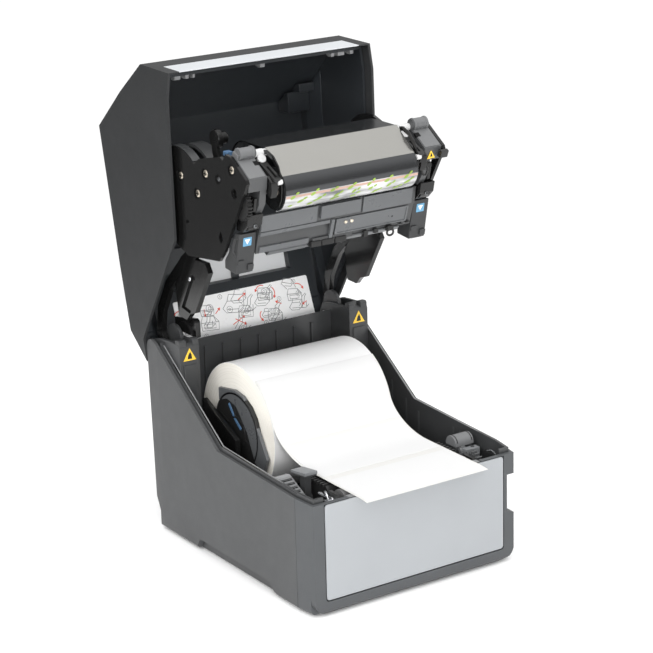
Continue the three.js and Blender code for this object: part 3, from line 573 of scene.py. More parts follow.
# ---- print unit: bearing caps, levers, pins ----
ROD_AT = (95.9, 309.2)
CAP_LINE = sloped((94.6, 309.1), (76.2, 296.7), -1)
LEVER_LINE = sloped((94.5, 304.6), (66.5, 291.2), -1)
BUTTON_LINE = sloped((92.6, 305.6), (88.2, 299.6), -1)
for side, word in SIDES:
    node = f"bearing_block_{word}"
    refined(node, "bearing", 0.6)
    piece(f"cap_top_{word}", node, "cap", [
        tile(*across(side, 67.4, 80.6), 0.8, 21.2, 0.8, -0.6, 0.35)], 0.2, fn=CAP_LINE)
    x0, x1 = across(side, 67.5, 79.4)
    piece(f"rod_housing_{word}", node, "cap", [
        lathe("x", (93.4, 311.3), [(x0, 4.5), (x0 + 1.4, 4.5), (x0 + 1.5, 4.1), (x1 - 1.5, 4.1),
                                   (x1 - 1.4, 4.6), (x1, 4.6)], 28)], 0.25)
    piece(f"cap_ridge_{word}", node, "cap", [
        prism("x", [(98.5, 309.5), (96, 313.5), (90.5, 311), (92, 307)], *across(side, 79.4, 81.2)),
        prism("x", [(92, 308), (90, 306.8), (90.4, 305.9), (92.4, 307.1)], *across(side, 67.2, 70.6))], 0.3)
    # painted shade: a black plate in the cap's notch
    piece(f"cap_notch_{word}", node, "black", [slab(*across(side, 66.3, 70.2), 6.5, 10.5, -1.4, 0.45)], 0,
          fn=CAP_LINE)
    # white rod end and the two-part lever
    piece(f"rod_end_{word}", node, "white", [
        rod("x", ROD_AT, 2.8, *across(side, 57.6, 66.4), 24)], 0.4)
    lever = f"spool_lever_{word}"
    bar = rounded(*across(side, 57.6, 63.6), 1, 25.2, 2.6)
    slot = rounded(*across(side, 59.6, 61.4), 9, 22, 0.85, 3)
    piece(f"lever_{word}", lever, "satin", [prism("z", bar, -1.6, 1.0)], 0.35, fn=LEVER_LINE,
          cuts=[prism("z", slot, -3, 3)], swap=True)
    piece(f"lever_block_{word}", lever, "gloss", [
        prism("x", [(78, 297), (72.6, 293), (72.4, 287), (74.5, 281.5), (78, 283), (82, 290), (82, 297)],
              *across(side, 60.4, 65.8)),
        rod("x", (75.8, 289.5), 3.2, *across(side, 59.2, 62), 24)], 0.5)
    piece(f"lever_cap_{word}", lever, "white", [
        lathe("z", (60.5 * side, 0), [(-1.0, 3.3), (0.9, 3.3), (1.3, 2.9), (1.4, 1.5)], 28),
        rod("z", (60.5 * side, 0), 1.0, 1.3, 1.75, 16)], 0.15, fn=BUTTON_LINE)
    piece(f"lever_pin_{word}", lever, "white", [
        rod("x", (73.6, 292.4), 2.1, *across(side, 56.8, 60.4), 20)], 0.3)
    guard = [(98, 309), (90, 310.2), (82.5, 307.6), (77, 302), (74.2, 295), (73.6, 287), (74.6, 280),
             (78, 274.5)]
    piece(f"roll_guard_{word}", lever, "gloss", [
        prism("x", strip(guard, 3.2), *across(side, 56.9, 58.0))], 0.3)
    # dark linkage between cap and latch block
    piece(f"link_{word}", node, "tub_dark", [
        prism("x", [(82, 270), (84, 262), (90, 256.5), (98, 257), (98, 270)], *across(side, 67, 79.5)),
        rod("x", (90.5, 263.5), 6.4, *across(side, 68.5, 77.5), 28),
        prism("x", [(80, 282), (82.5, 272), (88, 270), (88, 282)], *across(side, 72.4, 75))], 0.5)
    screws(f"link_screw_{word}", f"link_screw_slot_{word}", node, "dark_steel", "y", [(72.8 * side, 261.5)],
           1.5, 84.1, -1, 0.08)

piece("wire_eye", "bearing_block_right", "satin", [
    hoop(66.8, 77.2, 281.2, 2.6, 4.2, range(-80, 257, 16)), slab(68.6, 72.5, 76.6, 79, 282.6, 285.5)], 0.1)
piece("warning_mark", "bearing_block_right", "yellow", [
    prism("y", [(68.4, 288.6), (75.2, 288.9), (72.2, 294.4)], 76.2, 76.75)], 0)
piece("warning_dot", "bearing_block_right", "ink", [
    prism("y", [(71.2, 290), (72.9, 290.1), (72.4, 292.4), (71.7, 292.4)], 76.05, 76.75)], 0)

# ---- ribbon film ----
FILM_HALF, FILM_THICK = 55.6, 0.3
FRONT_ROLL, REAR_ROLL = (86, 285), (123, 293)
WOUND_R, LEADER_R, BAND_R = 15.9, 16.0, 16.2
rod_wrap = curve(ROD_AT, 3.0, 64, 118, 6)


def film(name, material, path, half=FILM_HALF, thick=FILM_THICK, swap=False):
    """A stretch of ribbon along a path of (y, z) points."""
    shape = prism("x", strip(path, thick), -half, half)
    piece(name, "ribbon_film", material, [shape], 0, swap=swap)


film("film_supply", "dark_film", curve(REAR_ROLL, 19.0, 20, 87, 10) + rod_wrap[:3], swap=True)
film("film_main", "film", rod_wrap[2:] + curve(FRONT_ROLL, WOUND_R, 128, 138, 4))
# the film round the front roll below the fold takes the darker copy of the film: painted shade of the bend
film("film_painted_shade", "film_painted_shade", curve(FRONT_ROLL, WOUND_R, 138, 189, 16))
film("film_leader", "leader", curve(FRONT_ROLL, LEADER_R, 189, 262, 18), FILM_HALF + 0.2)
film("film_leader_band", "pink", curve(FRONT_ROLL, BAND_R, 191, 197, 4), thick=0.2)


def on_roll(surface_r):
    """(x, distance round the roll from straight ahead, height above it) on the front ribbon roll."""
    def to_part(p):
        t = math.pi + p[1] / surface_r
        r = surface_r + p[2]
        return (p[0], FRONT_ROLL[0] + r * math.cos(t), FRONT_ROLL[1] + r * math.sin(t))
    return to_part


LEAF_SIDES = 10
leaves = []
for row, first, step in ((4.2, -50, 16.5), (8.6, -43, 15.5), (13.0, -54, 19)):
    x = first
    while x < 53:
        lean = random.uniform(0.25, 0.75)
        length = random.uniform(4.2, 5.8)
        for k, grow in ((0, 1.0), (1, 0.7)):
            cx, cu = x + k * 3.6, row - k * 1.9 + random.uniform(-0.6, 0.6)
            outline = []
            for i in range(LEAF_SIDES):
                t = 2 * math.pi * i / LEAF_SIDES
                a, b = math.cos(t) * length * grow / 2, math.sin(t) * 1.15 * grow
                outline.append((cx + a * math.cos(lean) - b * math.sin(lean),
                                cu - a * math.sin(lean) - b * math.cos(lean)))
            if max(abs(a) for a, b in outline) < FILM_HALF:
                leaves.append(prism("z", outline, 0.12, 0.3))
        x += step + random.uniform(-2, 2)
piece("film_leader_leaves", "ribbon_film", "leaf", leaves, 0, fn=on_roll(16.1))

for word, (cy, cz), r, half in (("front", FRONT_ROLL, 15.4, 56), ("rear", REAR_ROLL, 18.4, 55)):
    node = f"{word}_ribbon_spool"
    piece(f"{word}_ribbon_roll", node, "dark_film", [
        ring("x", (cy, cz), r - 0.1, 5.2, -half, half, 56)], 0.15, swap=True, angle=40)
    piece(f"{word}_ribbon_core", node, "card", [
        ring("x", (cy, cz), 6.3, 4.2, -half - 0.8, half + 0.8, 36)], 0.15)
    piece(f"{word}_ribbon_hubs", node, "satin", [
        lathe("x", (cy, cz), [(e * (half - 6), 4.0), (e * (half + 1), 4.0), (e * (half + 1.2), 5.6),
                              (e * (half + 2.2), 5.6), (e * (half + 2.4), 2.9), (e * 66.2, 2.9)], 28)
        for e in (-1, 1)], 0.15)

# ---- head carriage ----
refined("head_carriage", "carriage", 0.5)


def facing(fn):
    """Turns a slanted face's outward side to the front."""
    probe_in, probe_out = fn((0, 0, 0)), fn((0, 0, 1))
    return fn if probe_out[1] < probe_in[1] else (lambda p: fn((p[0], p[1], -p[2])))


UPPER = facing(sloped((86.9, 267.2), (89.5, 254.1)))
LOWER = facing(sloped((90.4, 254.1), (96, 237.6)))
piece("carriage_panels", "head_carriage", "carriage_light", [
    tile(-65.6, -19.2, 0.3, 12.4, 0.6, -0.3, 1.0),
    tile(-16.8, 17.2, 0.6, 10.6, 0.6, -0.3, 2.3),
    tile(19.6, 62.5, 0.1, 12.2, 0.6, -0.3, 1.3)], 0.35, fn=UPPER)
piece("carriage_ledge", "head_carriage", "carriage_light", [
    tile(-65.6, -7.5, -0.6, 2.4, 0.5, -0.3, 1.7),
    tile(-6.4, -3.6, -0.6, 16, 0.8, -0.3, 2.2)], 0.3, fn=LOWER)
frame_outline = rounded(-1.6, 61, 0.3, 13.2, 0.8, 3)
piece("carriage_frame", "head_carriage", "carriage_light", [prism("z", frame_outline, -0.3, 1.5)], 0.25,
      fn=LOWER, cuts=[tile(0.6, 59.6, 1.7, 12.2, 0.6, 0.9, 3)])
piece("carriage_pins", "head_carriage", "brass", [
    lathe("z", (x, 4.2), [(0.8, 1.35), (1.5, 1.35), (1.9, 0.9), (2.0, 0.4)], 20) for x in (6.8, 12)], 0.08,
    fn=LOWER)
piece("carriage_gloss", "head_carriage", "gloss", [
    prism("z", [(-49.5, 3.2), (-8.4, 3.2), (-8.4, 9.2), (-12, 12.4), (-46, 12.4), (-49.5, 10)], -3.6, -2.9)],
    0.3, fn=LOWER)
piece("carriage_apron", "head_carriage", "carriage_light", [
    tile(-64, -23, 11.8, 16.4, 0.6, -0.2, 1.3)], 0.3, fn=LOWER)
piece("carriage_marks", "head_carriage", "ink", [
    rod("z", (48, 7.4), 0.8, 0.85, 0.96, 16), rod("z", (44.6, 6.6), 0.4, 0.85, 0.96, 12)], 0, fn=LOWER)
piece("head_clip", "print_head", "satin", [
    slab(x, x + w, 92.4, 97.4, 235.2, 239.4) for x, w in ((-21.5, 8.5), (-12.4, 10.4), (-1.2, 9.6))], 0.5)
edge = [(95.0, 238.2), (94.6, 237.3), (97.5, 234.6), (111, 241.4), (110.6, 242.8), (97.9, 236.4)]
piece("head_edge", "print_head", "dark_steel", [
    prism("x", edge, *ends) for ends in ((-56, -24), (10.5, 56))], 0.15)
piece("head_bracket", "print_head", "satin", [
    slab(x, x + 3.4, 93, 97.5, 234.6 + 0.14 * (x - 20), 239.6) for x in (24, 33, 55, 61)], 0.4)
piece("head_ear", "head_carriage", "satin", [
    hoop(46.5, 92.6, 235.0, 2.8, 2.3, range(0, 361, 18)), slab(44, 49, 91.6, 96, 236.4, 240)], 0.2)
refined("print_head", "dark_steel", 0.2)
refined("guide_rod", "white", 0.2)

# ---- latch blocks ----
LATCH_FACE = facing(sloped((91.8, 255), (98.5, 225)))
for side, word in SIDES:
    node = f"latch_block_{word}"
    pocket = prism("x", [(94.5, 251), (99.5, 250), (102.5, 240), (98.2, 237)], *across(side, 79.6, 83))
    refined(node, "matt", 0.9, 3, cuts=[pocket])
    mid = 74 * side
    piece(f"latch_label_{word}", node, "blue", [
        tile(mid - 3.4, mid + 3.4, 3.2, 9.8, 0.5, -0.1, 0.12)], 0, fn=LATCH_FACE)
    piece(f"latch_arrow_{word}", node, "label_white",
          [prism("z", [(mid - 2.2, 4.6), (mid + 2.2, 4.6), (mid, 8.6)], 0.08, 0.2)], 0, fn=LATCH_FACE)
    piece(f"latch_steps_{word}", node, "matt", [
        tile(mid - 6.6, mid - 1.4, 20.2, 24.4, 0.7, -0.4, 1.0),
        tile(mid + 1.6, mid + 6.4, 24, 28.8, 0.7, -0.4, 1.3)], 0.3, fn=LATCH_FACE)

# ---- lid: window, sheet, inside ----
refined("lid_liner", "liner", 0.6)
WINDOW_FACE = [(147, 175.3), (153, 174.4), (180, 169.7), (180, 171.7), (153, 176.4), (147, 177.3)]
piece("window_pane", "lid_window", "clear", [prism("x", WINDOW_FACE, -55, 55)], swap=True, fn=opened)
piece("window_bars", "lid_liner", "liner", [
    slab(2.4, 8.6, 146, 181, 166.8, 169.4), slab(-58, -36, 146, 182, 166.5, 169.4)], 0.4, fn=opened)
SHEET_LINE = on_lid(sloped((217.5, 149.2), (184.2, 160.2)))
INK = (0.42, 0.56)      # heights of a printed line's underside and top above the sheet
ARROW_TIP = 2.2
piece("sheet_card", "instruction_sheet", "sheet", [tile(-56, 65, 1, 34, 1.5, -0.3, 0.45, 5)],
      0.05, swap=True, fn=SHEET_LINE)


def ink_line(path, width):
    return prism("z", strip(path, width), *INK)


def ink_ring(x, u, r, width, sides):
    return ring("z", (x, u), r, r - width, *INK, sides)


def arrow_head(base, run, half):
    side = Vector((-run.y, run.x))
    return prism("z", [base + run * ARROW_TIP, base + side * half, base - side * half], *INK)


def arrow(x, u, dx, du):
    """A straight arrow from (x, u)."""
    run = Vector((dx, du)).normalized()
    neck = Vector((x + dx, u + du)) - run * ARROW_TIP
    return [ink_line([(x, u), neck], 0.6), arrow_head(neck, run, 1.4)]


def sketch(x, u, size, lines):
    """Line drawing of one machine part, placed and scaled."""
    return [ink_line([(x + a * size, u + b * size) for a, b in line], 0.42) for line in lines]


def turned_arrow(x, u, r, begin, finish):
    """An arrow bent round a centre."""
    path = curve((x, u), r, begin, finish, 10)
    tip = Vector(path[-1])
    run = (tip - Vector(path[-2])).normalized()
    return [ink_line(path, 0.65), arrow_head(tip, run, 1.3)]


BOX = [[(-6, 0), (6, -1), (7, 4), (4, 8), (-4, 9), (-6, 5), (-6, 0)], [(-6, 5), (5, 4), (7, 4)],
       [(-4, 1), (4, 0.4), (4.4, 3), (-4, 3.8), (-4, 1)], [(5, 4), (4, 8)]]
LID = [[(-5, 9), (-9, 14), (-6, 18), (1, 16), (3, 9)], [(-8, 15), (0, 12.5)],
       [(-6.5, 12), (-1, 10.6), (1, 13)]]
UNIT = [[(-7, 2), (-3, 6), (5, 5), (8, 1), (3, -2), (-5, -1), (-7, 2)], [(-4, 1), (4, 0)],
        [(-3, 6), (-1, 10), (4, 9)], [(5, 5), (9, 8), (8, 1)]]
ARM = [[(-5, -4), (-1, 0), (1, 6), (6, 9)], [(-3, -5), (2, -1), (4, 5), (7, 8)],
       [(-6, -6), (3, -7), (8, -4)], [(-2, -7), (-1, -3)], [(4, -6), (5, -1)]]


def wheel(x, u, r):
    return [ink_ring(x, u, r, 0.32, 24), ink_ring(x, u, r * 0.42, 0.28, 16)]


STEP_MARKS = ((-50, 31), (-34, 3.6), (-15, 31), (-1, 4), (36, 20), (20, 4), (52, 31))
SKETCHES = (        # drawing, place on the sheet, size
    (BOX + LID, -48, 8, 0.9), (BOX, -29, 8, 1.2), (BOX, -29, 19, 0.9), (ARM, -30, 15, 0.8),
    (UNIT, -6, 19, 1.25), (ARM, -3, 9, 1.1), (UNIT, 0, 25, 0.9), (BOX, 4, 12, 1.0), (ARM, 8, 21, 0.8),
    (BOX, 24, 22, 1.05), (UNIT, 20, 19, 0.9), (ARM, 27, 26, 0.7), (ARM, 30, 9, 1.05), (BOX, 29, 5, 1.0),
    (UNIT, 22, 9, 0.6), (BOX + LID, 50, 17, 1.0), (UNIT, 49, 10, 0.8), (ARM, 56, 14, 0.7))
WHEELS = (      # centre and radius
    (-48, 13, 2.6), (-26, 24, 3.2), (-9, 20, 2.6), (5, 16, 2.0), (24, 28, 2.4), (31, 11, 3.0), (54, 21, 2.2))
ARROWS = (      # start and run
    (-31, 24, 0, -6), (-22, 19, 5, 4), (-6, 12, 9, -6), (-9, 8, 12, 5), (0, 26, 8, 4), (37, 16, -5, 3),
    (60, 14, -5, -2))
TURNED_ARROWS = (       # centre, radius, first and last angle
    (22, 28, 5.2, 60, 150), (28, 26, 5.4, 50, -30), (20, 10, 4, 120, 220), (54, 24, 5, 100, 20),
    (-53, 22, 4.5, 150, 60))
drawings = [mark for x, u in STEP_MARKS
            for mark in (ink_ring(x, u, 1.9, 0.3, 20), ink_line([(x, u - 0.9), (x, u + 0.9)], 0.4))]
drawings += [line for lines, x, u, size in SKETCHES for line in sketch(x, u, size, lines)]
drawings += [line for spot in WHEELS for line in wheel(*spot)]
red = [part for spot in ARROWS for part in arrow(*spot)]
red += [part for spot in TURNED_ARROWS for part in turned_arrow(*spot)]
piece("sheet_drawings", "instruction_sheet", "line_grey", drawings, 0, fn=SHEET_LINE)
piece("sheet_arrows", "instruction_sheet", "red", red, 0, fn=SHEET_LINE)

side_rib = [(26, 152), (128, 152), (128, 174), (45, 174)]
piece("lid_ribs", "lid_liner", "liner_light", on_both(side_rib, 84.2, 85), 0.3, fn=opened)
upper_step = [(42, 168), (58, 168), (58, 183), (51, 183), (42, 172)]
lower_step = [(35, 160), (42, 160), (42, 171), (40, 171), (35, 165)]
piece("lid_steps", "lid_liner", "liner", [
    prism("x", upper_step, 64, 84), prism("x", upper_step, -84, -64), prism("x", lower_step, 70, 84)], 0.8,
    fn=opened)
skirt = [(121, 95.5), (172, 130.6), (171, 134), (121, 100)]
piece("lid_skirts", "lid_liner", "liner_light", on_both(skirt, 84.2, 85.6), 0.4, fn=opened)
piece("lid_hooks", "lid_liner", "rim", [
    prism("x", [(4.2, 94.5), (7.4, 95), (7.6, 99), (6.5, 102), (4.2, 102.6)], x, x + w)
    for x, w in ((-76, 5), (-67, 3), (-61, 2), (-4, 4), (58, 3), (64, 6), (75, 3))], 0.4, fn=opened)
piece("lid_gusset", "lid_liner", "gloss", [
    prism("x", [(183, 166.5), (186, 168.4), (214, 163.6), (214, 154), (183, 154)], -66.4, -62)], 0.8)
ear = curve((206.5, 149.5), 11, -20, 190, 24) + [(206.5, 134), (217, 134), (218.5, 143)]
piece("lid_ears", "lid_liner", "tower", on_both(ear, 69.2, 72.0), 0.5)

# ---- lid: outside ----
FRONT_FACE = on_lid(facing(sloped((-3, 125.5), (48, 191.2))))
KEY_X = 26
piece("display_screen", "display_panel", "screen", [tile(-34, 12, 25, 59, 1.5, 0.5, 0.72, 5)],
      0.05, fn=FRONT_FACE)
piece("display_lights", "display_panel", "led", [
    rod("z", (x, 57.5), 0.9, 0.5, 0.8, 16) for x in (20, 26, 32)], 0.1, fn=FRONT_FACE)
for name, u in (("feed_key", 34), ("cancel_key", 50)):
    piece(f"{name}_cap", name, "lever", [
        lathe("z", (KEY_X, u), [(-1.2, 4.9), (0.5, 4.9), (0.9, 4.4), (0.95, 3.6), (0.75, 2.8), (0.7, 1.0)],
              40)], 0.1, swap=True, fn=FRONT_FACE)
piece("key_marks", "feed_key", "label_white", [
    prism("z", [(24.9, 33.1), (24.9, 34.9), (27.2, 34)], 0.68, 0.8)], 0, fn=FRONT_FACE)
piece("key_marks_cancel", "cancel_key", "label_white", [slab(25, 27, 49, 51, 0.68, 0.8)], 0, fn=FRONT_FACE)

# ---- front panel ----
piece("panel_plate", "front_panel", "panel", [prism("y", rounded(-76.9, 76.9, 12.0, 82.9, 2.3), -0.1, 1.0)],
      0.3, swap=True)
# painted shade: a black plate just behind the panel's edge, showing as a dark gap round it
piece("panel_gap", "front_cover", "black", [prism("y", rounded(-77.6, 77.6, 11.3, 83.1, 2.8), 0.75, 1.1)], 0)


def lower_corner(side):
    """Squares the housing's lower corner behind the rounded front edge, widening with the taper."""
    points, count = [], 0
    for y, half in ((5, 87.1), (18.9, 88.9)):
        outline = curve((75, 13.5), 11.5, -90, 0, 8) + [(half, 16.5)] + curve((half - 4, 5.5), 4, 0, -90, 5)
        points += [(a * side, y, b) for a, b in outline]
        count = len(outline)
    sides = [(i, (i + 1) % count, count + (i + 1) % count, count + i) for i in range(count)]
    return points, [tuple(range(count)), tuple(range(count, 2 * count)), *sides]


piece("cover_corners", "front_cover", "bezel", [lower_corner(-1), lower_corner(1)], 0.3)

# ---- arms ----
for side, word in SIDES:
    node = f"arm_{word}"
    refined(node, "gloss", 0.6)
    head = pan_screw("x", (169.7, 204.8), 1.7, 77.0 * side, side)[0]
    piece(f"arm_screw_{word}", node, "steel", [head], 0.1)

# ---- hinge towers ----
for side, word in SIDES:
    node = f"hinge_tower_{word}"
    refined(node, "tower", 1.2, 3, cuts=[slab(*across(side, 68.7, 72.5), 185, 225, 113, 165)])
    mid = 75.5 * side
    piece(f"tower_label_{word}", node, "yellow", [
        prism("y", [(mid - 5.4, 140.2), (mid + 5.4, 140.2), (mid, 149.6)], 177.78, 178.1)], 0)
    piece(f"tower_label_mark_{word}", node, "ink", [
        prism("y", [(mid - 2, 141.4), (mid + 1.9, 141.4), (mid + 1.5, 144.6), (mid + 0.4, 146.8),
                    (mid - 1.2, 144.6)], 177.7, 178.1)], 0)
    lip = [(178.3, 150), (178.3, 155), (179.6, 156.4), (184.4, 155.8), (184.4, 150)]
    piece(f"tower_cap_{word}", node, "tower", [
        prism("x", lip, *across(side, 67.2, 72.4)), prism("x", lip, *across(side, 77.8, 83.8)),
        slab(*across(side, 70, 81), 177.1, 178.2, 104, 137)], 0.5)

# ---- label roll and web ----
ROLL_AT, ROLL_HALF = (151.6, 89), 52
LAYER_LINES = (24.5, 27, 29.6, 33.1, 35.4, 38.2, 41.5, 43.1, 45.4, 47.6, 48.8)
piece("roll_side", "label_roll", "roll_side", [
    ring("x", ROLL_AT, 49.7, 21.3, -ROLL_HALF, ROLL_HALF, 96)], 0.25, swap=True, angle=40)
piece("roll_face", "label_roll", "roll_paper", [ring("x", ROLL_AT, 50.0, 49.4, -51.9, 51.9, 96)], 0)
piece("roll_rings", "label_roll", "roll_line", [
    ring("x", ROLL_AT, r + 0.12, r, end - 0.05, end + 0.05, 96)
    for r in LAYER_LINES for end in (-ROLL_HALF, ROLL_HALF)], 0)
piece("core_tube", "roll_core", "card", [ring("x", ROLL_AT, 21, 19, -51.5, 51.5, 64)], swap=True)


WEB_STEPS = 24
LABEL_RAISE = 0.24


def web_path():
    """Round the roll, down off it in one bend and out over the front edge."""
    turn = math.radians(70)
    r = 50.6
    start = (ROLL_AT[0] - r * math.sin(turn), ROLL_AT[1] + r * math.cos(turn))
    knots = [start, (start[0] - 5, start[1] - 13), (78, 84.8), (58, 84.6)]
    wrap = curve(ROLL_AT, r, 120, 160, 14)[:-1]
    bend = []
    for i in range(WEB_STEPS + 1):
        t = i / WEB_STEPS
        w = ((1 - t) ** 3, 3 * t * (1 - t) ** 2, 3 * t * t * (1 - t), t ** 3)
        bend.append(tuple(sum(k[j] * v for k, v in zip(knots, w)) for j in (0, 1)))
    return wrap + bend + [(44, 84.5), (30, 84.4), (16, 84.3), (2, 84.2), (-6, 84.2), (-14.5, 83.4)]


WEB = web_path()
liner = prism("x", strip(WEB, 0.3), -ROLL_HALF, ROLL_HALF)
piece("web_liner", "label_web", "liner_paper", [liner], 0, swap=True)


def along_web(low, high):
    """The part of the web's line between two distances from its start, raised a little."""
    out, run = [], 0.0
    for (a, b), (c, d) in zip(WEB, WEB[1:]):
        length = math.hypot(c - a, d - b)
        for k in range(4):
            here = run + length * k / 4
            if low <= here <= high:
                t = k / 4
                out.append((a + (c - a) * t + (d - b) / length * LABEL_RAISE,
                            b + (d - b) * t - (c - a) / length * LABEL_RAISE))
        run += length
    return out


LABEL_ENDS = ((0, 54), (57, 107), (110, 160))
piece("web_labels", "label_web", "paper", [
    prism("x", strip(along_web(*ends), 0.14), -50.4, 50.4) for ends in LABEL_ENDS], 0)

# ---- media guides ----
GUIDE_AT = (148, 89)
SPOKES = 6
for side, word in SIDES:
    node = f"media_guide_{word}"
    refined(node, "satin", 0.5)
    piece(f"guide_rings_{word}", node, "satin", [
        ring("x", GUIDE_AT, 29.6, 27.8, *across(side, 55.2, 55.8)),
        ring("x", GUIDE_AT, 11.5, 9.8, *across(side, 55.2, 55.8))], 0.2)
    spokes = []
    for k in range(SPOKES):
        t = math.radians(360 / SPOKES * k + 20)
        ends = [(GUIDE_AT[0] + r * math.cos(t), GUIDE_AT[1] + r * math.sin(t)) for r in (11, 28.4)]
        spokes.append(prism("x", strip(ends, 1.6), *across(side, 55.2, 55.7)))
    piece(f"guide_spokes_{word}", node, "satin", spokes, 0.15)
    arm = [(172, 117), (150, 120.5), (138, 118.5), (118.7, 97.5), (107, 78), (113, 66), (124, 71),
           (134, 92), (148, 108), (160, 111), (172, 107)]
    piece(f"guide_arm_{word}", node, "carriage_light", [prism("x", arm, *across(side, 52.8, 55.8))], 0.6)
    piece(f"guide_clip_{word}", node, "blue_plastic", [
        prism("x", strip([(158, 108), (150, 98), (142, 92)], 2.4), *across(side, 55.2, 55.8))], 0.15)

# ---- tray, rim, front mechanisms ----
refined("media_tray", "tub", 0.5)
WALL_RIBS = ((60, 67, 84), (68, 67, 84), (112, 38, 84), (128, 38, 90), (146, 38, 100), (164, 38, 112))
rim_line = [(20, 87.5), (118.6, 92.3), (199.5, 148.0)]
for side, word in SIDES:
    # painted highlight: the thin light grey strip on the rim's inner side stands in for the edge highlight
    # of the glossy black rim beside it
    piece(f"rim_painted_highlight_{word}", "media_tray", "rim", [
        prism("x", strip(rim_line, 0.9), *across(side, 84.4, 85.3))], 0.2)
    piece(f"rim_gloss_{word}", "media_tray", "gloss", [
        prism("x", strip(rim_line, 0.5), *across(side, 85.3, 86.4))], 0.1)
    comb = [slab(*across(side, 62.5, out), 11 + 3.3 * i, 12.5 + 3.3 * i, low, top)
            for out, low, top in ((79.5, 64, 70.4), (66.4, 68, 76.5)) for i in range(6)]
    comb.append(slab(*across(side, 81.6, 83.6), 8, 30, 66, 78))
    piece(f"comb_{word}", "media_tray", "satin", comb, 0.25)
    piece(f"light_guides_{word}", "media_tray", "light_guide", [
        sweep([(side * 65.2, 12 + 1.2 * i, 76.6 + 2.0 * math.sin(i / 2.4)) for i in range(9)], 0.4),
        sweep([(side * 82.6, 16 + 1.1 * i, 78.4 + 1.6 * math.sin(i / 2.8)) for i in range(10)], 0.4)], 0)
    piece(f"front_ribs_{word}", "media_tray", "satin", [
        slab(*across(side, 53, 57.5), 31 + 3.6 * i, 32.6 + 3.6 * i, 81.5, 83.6) for i in range(6)], 0.25)
    piece(f"wall_ribs_{word}", "media_tray", "bay", [
        slab(*across(side, 84.08, 84.6), y, y + 1.8, z, top) for y, z, top in WALL_RIBS], 0.1)
# ramp beside the lock lever and the covered drive on the other side
ramp = [(33, 67), (34, 73), (37, 76.5), (57, 86.2), (61, 85.5), (62.5, 82), (62.5, 67)]
slope = sloped((37, 76.5), (57, 86.2))
piece("lock_ramp", "media_tray", "silver_grey", [prism("x", ramp, -80.6, -68)], 0.6)
piece("lock_ramp_ribs", "media_tray", "pad", [
    tile(-79.8, -69.2, u, u + 1.8, 0.4, -0.2, 1.3) for u in (1.6, 5.6, 9.6, 13.6, 17.6)],
    0.25, fn=slope)
# painted shade: black strips between the ramp's ribs stand in for the slots' shade
piece("lock_ramp_slots", "media_tray", "black", [
    slab(-79.6, -69.4, u, u + 1.5, -0.1, 0.08) for u in (3.8, 7.8, 11.8, 15.8)], 0, fn=slope)
piece("ramp_roller", "media_tray", "satin", [
    lathe("x", (67.6, 80), [(-80.4, 3.6), (-80, 4.4), (-77.6, 4.4), (-77.2, 3.4)], 28)], 0.15)
piece("roller_spring", "media_tray", "steel", [
    sweep([(-60.8 - 0.25 * i, 24 - 1.3 * i, 81.5 - 0.16 * i * i) for i in range(9)], 0.9),
    slab(-63.4, -60.8, 20, 29, 79.2, 80.2)], 0.1)
piece("tear_bar", "front_cover", "pad", [slab(-56.4, 56.4, 0.7, 5.3, 83.35, 83.8)], 0.15)
piece("drive_cover", "media_tray", "tub_dark", [
    slab(67.2, 82.6, 21, 33, 62, 70.6), slab(70, 80, 9.5, 21, 62, 70.4)], 0.4)
piece("drive_lid", "media_tray", "lever", [slab(68, 80.4, 31.6, 37.5, 70, 80.4)], 0.6)
piece("bay_ribs", "media_tray", "bay", [
    slab(-82, 82, 99.8, 100.9, z, z + 1.0) for z in (38.5, 41)] + [
    slab(x, x + 1.2, 202.1, 203.2, 44, 96) for x in range(-60, 61, 12)], 0.25)
piece("tray_rail", "media_tray", "gloss", [
    prism("x", [(179, 108.6), (133.2, 88.3), (133.2, 60), (179, 60)], -66, -61.4)], 0.8)
piece("roller_bearing", "platen_shaft", "steel", [
    ring("x", (16, 75.8), 5.2, 3.1, *across(side, 60.4, 62.2)) for side, _ in SIDES], 0.25)
refined("platen_shaft", "steel", 0.2)
refined("guide_lock_lever", "carriage", 0.5)
piece("lock_lever_tab", "guide_lock_lever", "lever", [
    prism("x", [(39.6, 89), (58.4, 86.9), (58.4, 88.9), (39.6, 91.4)], -66.8, -56.2)], 0.4)
DRUM_AT = (44, 82.6)
drum = curve(DRUM_AT, 6.3, -12, 192, 20)
piece("release_handle", "release_lever", "cap", [
    prism("x", drum, 63, 79.4), prism("x", [(37, 74), (43.5, 74), (45, 82), (38, 82)], 67.5, 71.5),
    rod("x", (40, 77), 3.8, 66.6, 72.4, 28)], 0.5, swap=True)
piece("release_grooves", "release_lever", "satin", [
    prism("x", strip(curve(DRUM_AT, 6.4, 20, 165, 16), 0.25), x, x + 0.7) for x in (64.4, 77.4)], 0)

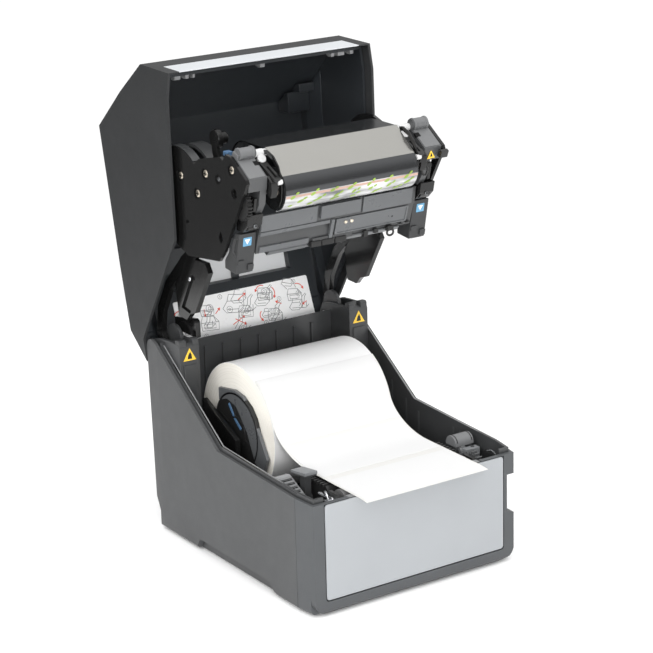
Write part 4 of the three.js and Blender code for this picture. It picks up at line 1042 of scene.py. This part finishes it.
# ---- rear ----
piece("port_frames", "rear_port_panel", "satin", [
    prism("y", rounded(-60.5, -43.5, 42.5, 57.5, 1.5), 210.85, 211.3),
    prism("y", rounded(-9.5, 5.5, 40.5, 54.5, 1.2), 210.85, 211.3),
    prism("y", rounded(16.5, 32.5, 40.5, 63.5, 1.5), 210.85, 211.3)], 0.2,
    cuts=[slab(-59, -45, 205, 214, 44, 56), slab(-8, 4, 205, 214, 42, 53), slab(18, 31, 205, 214, 42, 62)])
screws("port_screws", "port_screw_slots", "rear_port_panel", "steel", "y",
       [(x, z) for x in (-62, 36.4) for z in (33.6, 70.4)], 2.2, 210.85, 1)
piece("rocker_marks", "power_switch", "label_white", [
    ring("y", (24.5, 57.6), 1.5, 1.15, 211.9, 212.25, 20), slab(24.3, 24.7, 212.0, 212.5, 45.6, 48.6)], 0)

# ---- the other pieces: the CAD solid with its edges rounded ----
LOOKS = {
    "base_shell": ("housing", 1.4, 3),
    "front_cover": ("bezel", 1.0, 3),
    "web_guide": ("satin", 0.5, 2),
    "platen_roller": ("rubber", 0.3, 2),
    "platen_gear": ("gear", 0.1, 1),
    "motor_gear": ("gear", 0.1, 1),
    "front_usb_socket": ("steel", 0.1, 1),
    "rear_port_panel": ("dark_steel", 0.2, 2),
    "power_inlet": ("satin", 0.3, 2),
    "usb_socket": ("steel", 0.1, 1),
    "power_switch": ("satin", 0.4, 2),
    "lid_shell": ("lid", 1.6, 3),
    "front_strip": ("strip", 0.3, 2),
    "display_panel": ("gloss", 0.4, 2),
    # the cover material's light grey is partly painted sheen
    "spool_cover": ("cover", 0.3, 2),
    "ribbon_gear": ("satin", 0.1, 1),
    "grip_tab": ("satin", 0.4, 2),
}
PAIRS = {
    "hinge_pin": ("steel", 0.2, 2),
    "foot_front": ("black_rubber", 0.2, 2),
    "foot_rear": ("black_rubber", 0.2, 2),
    "platen_bracket": ("satin", 0.3, 2),
    "unit_pin": ("steel", 0.2, 2),
}
for stem, look in PAIRS.items():
    for _, word in SIDES:
        LOOKS[f"{stem}_{word}"] = look
for node, (material, width, segments) in LOOKS.items():
    refined(node, material, width, segments)
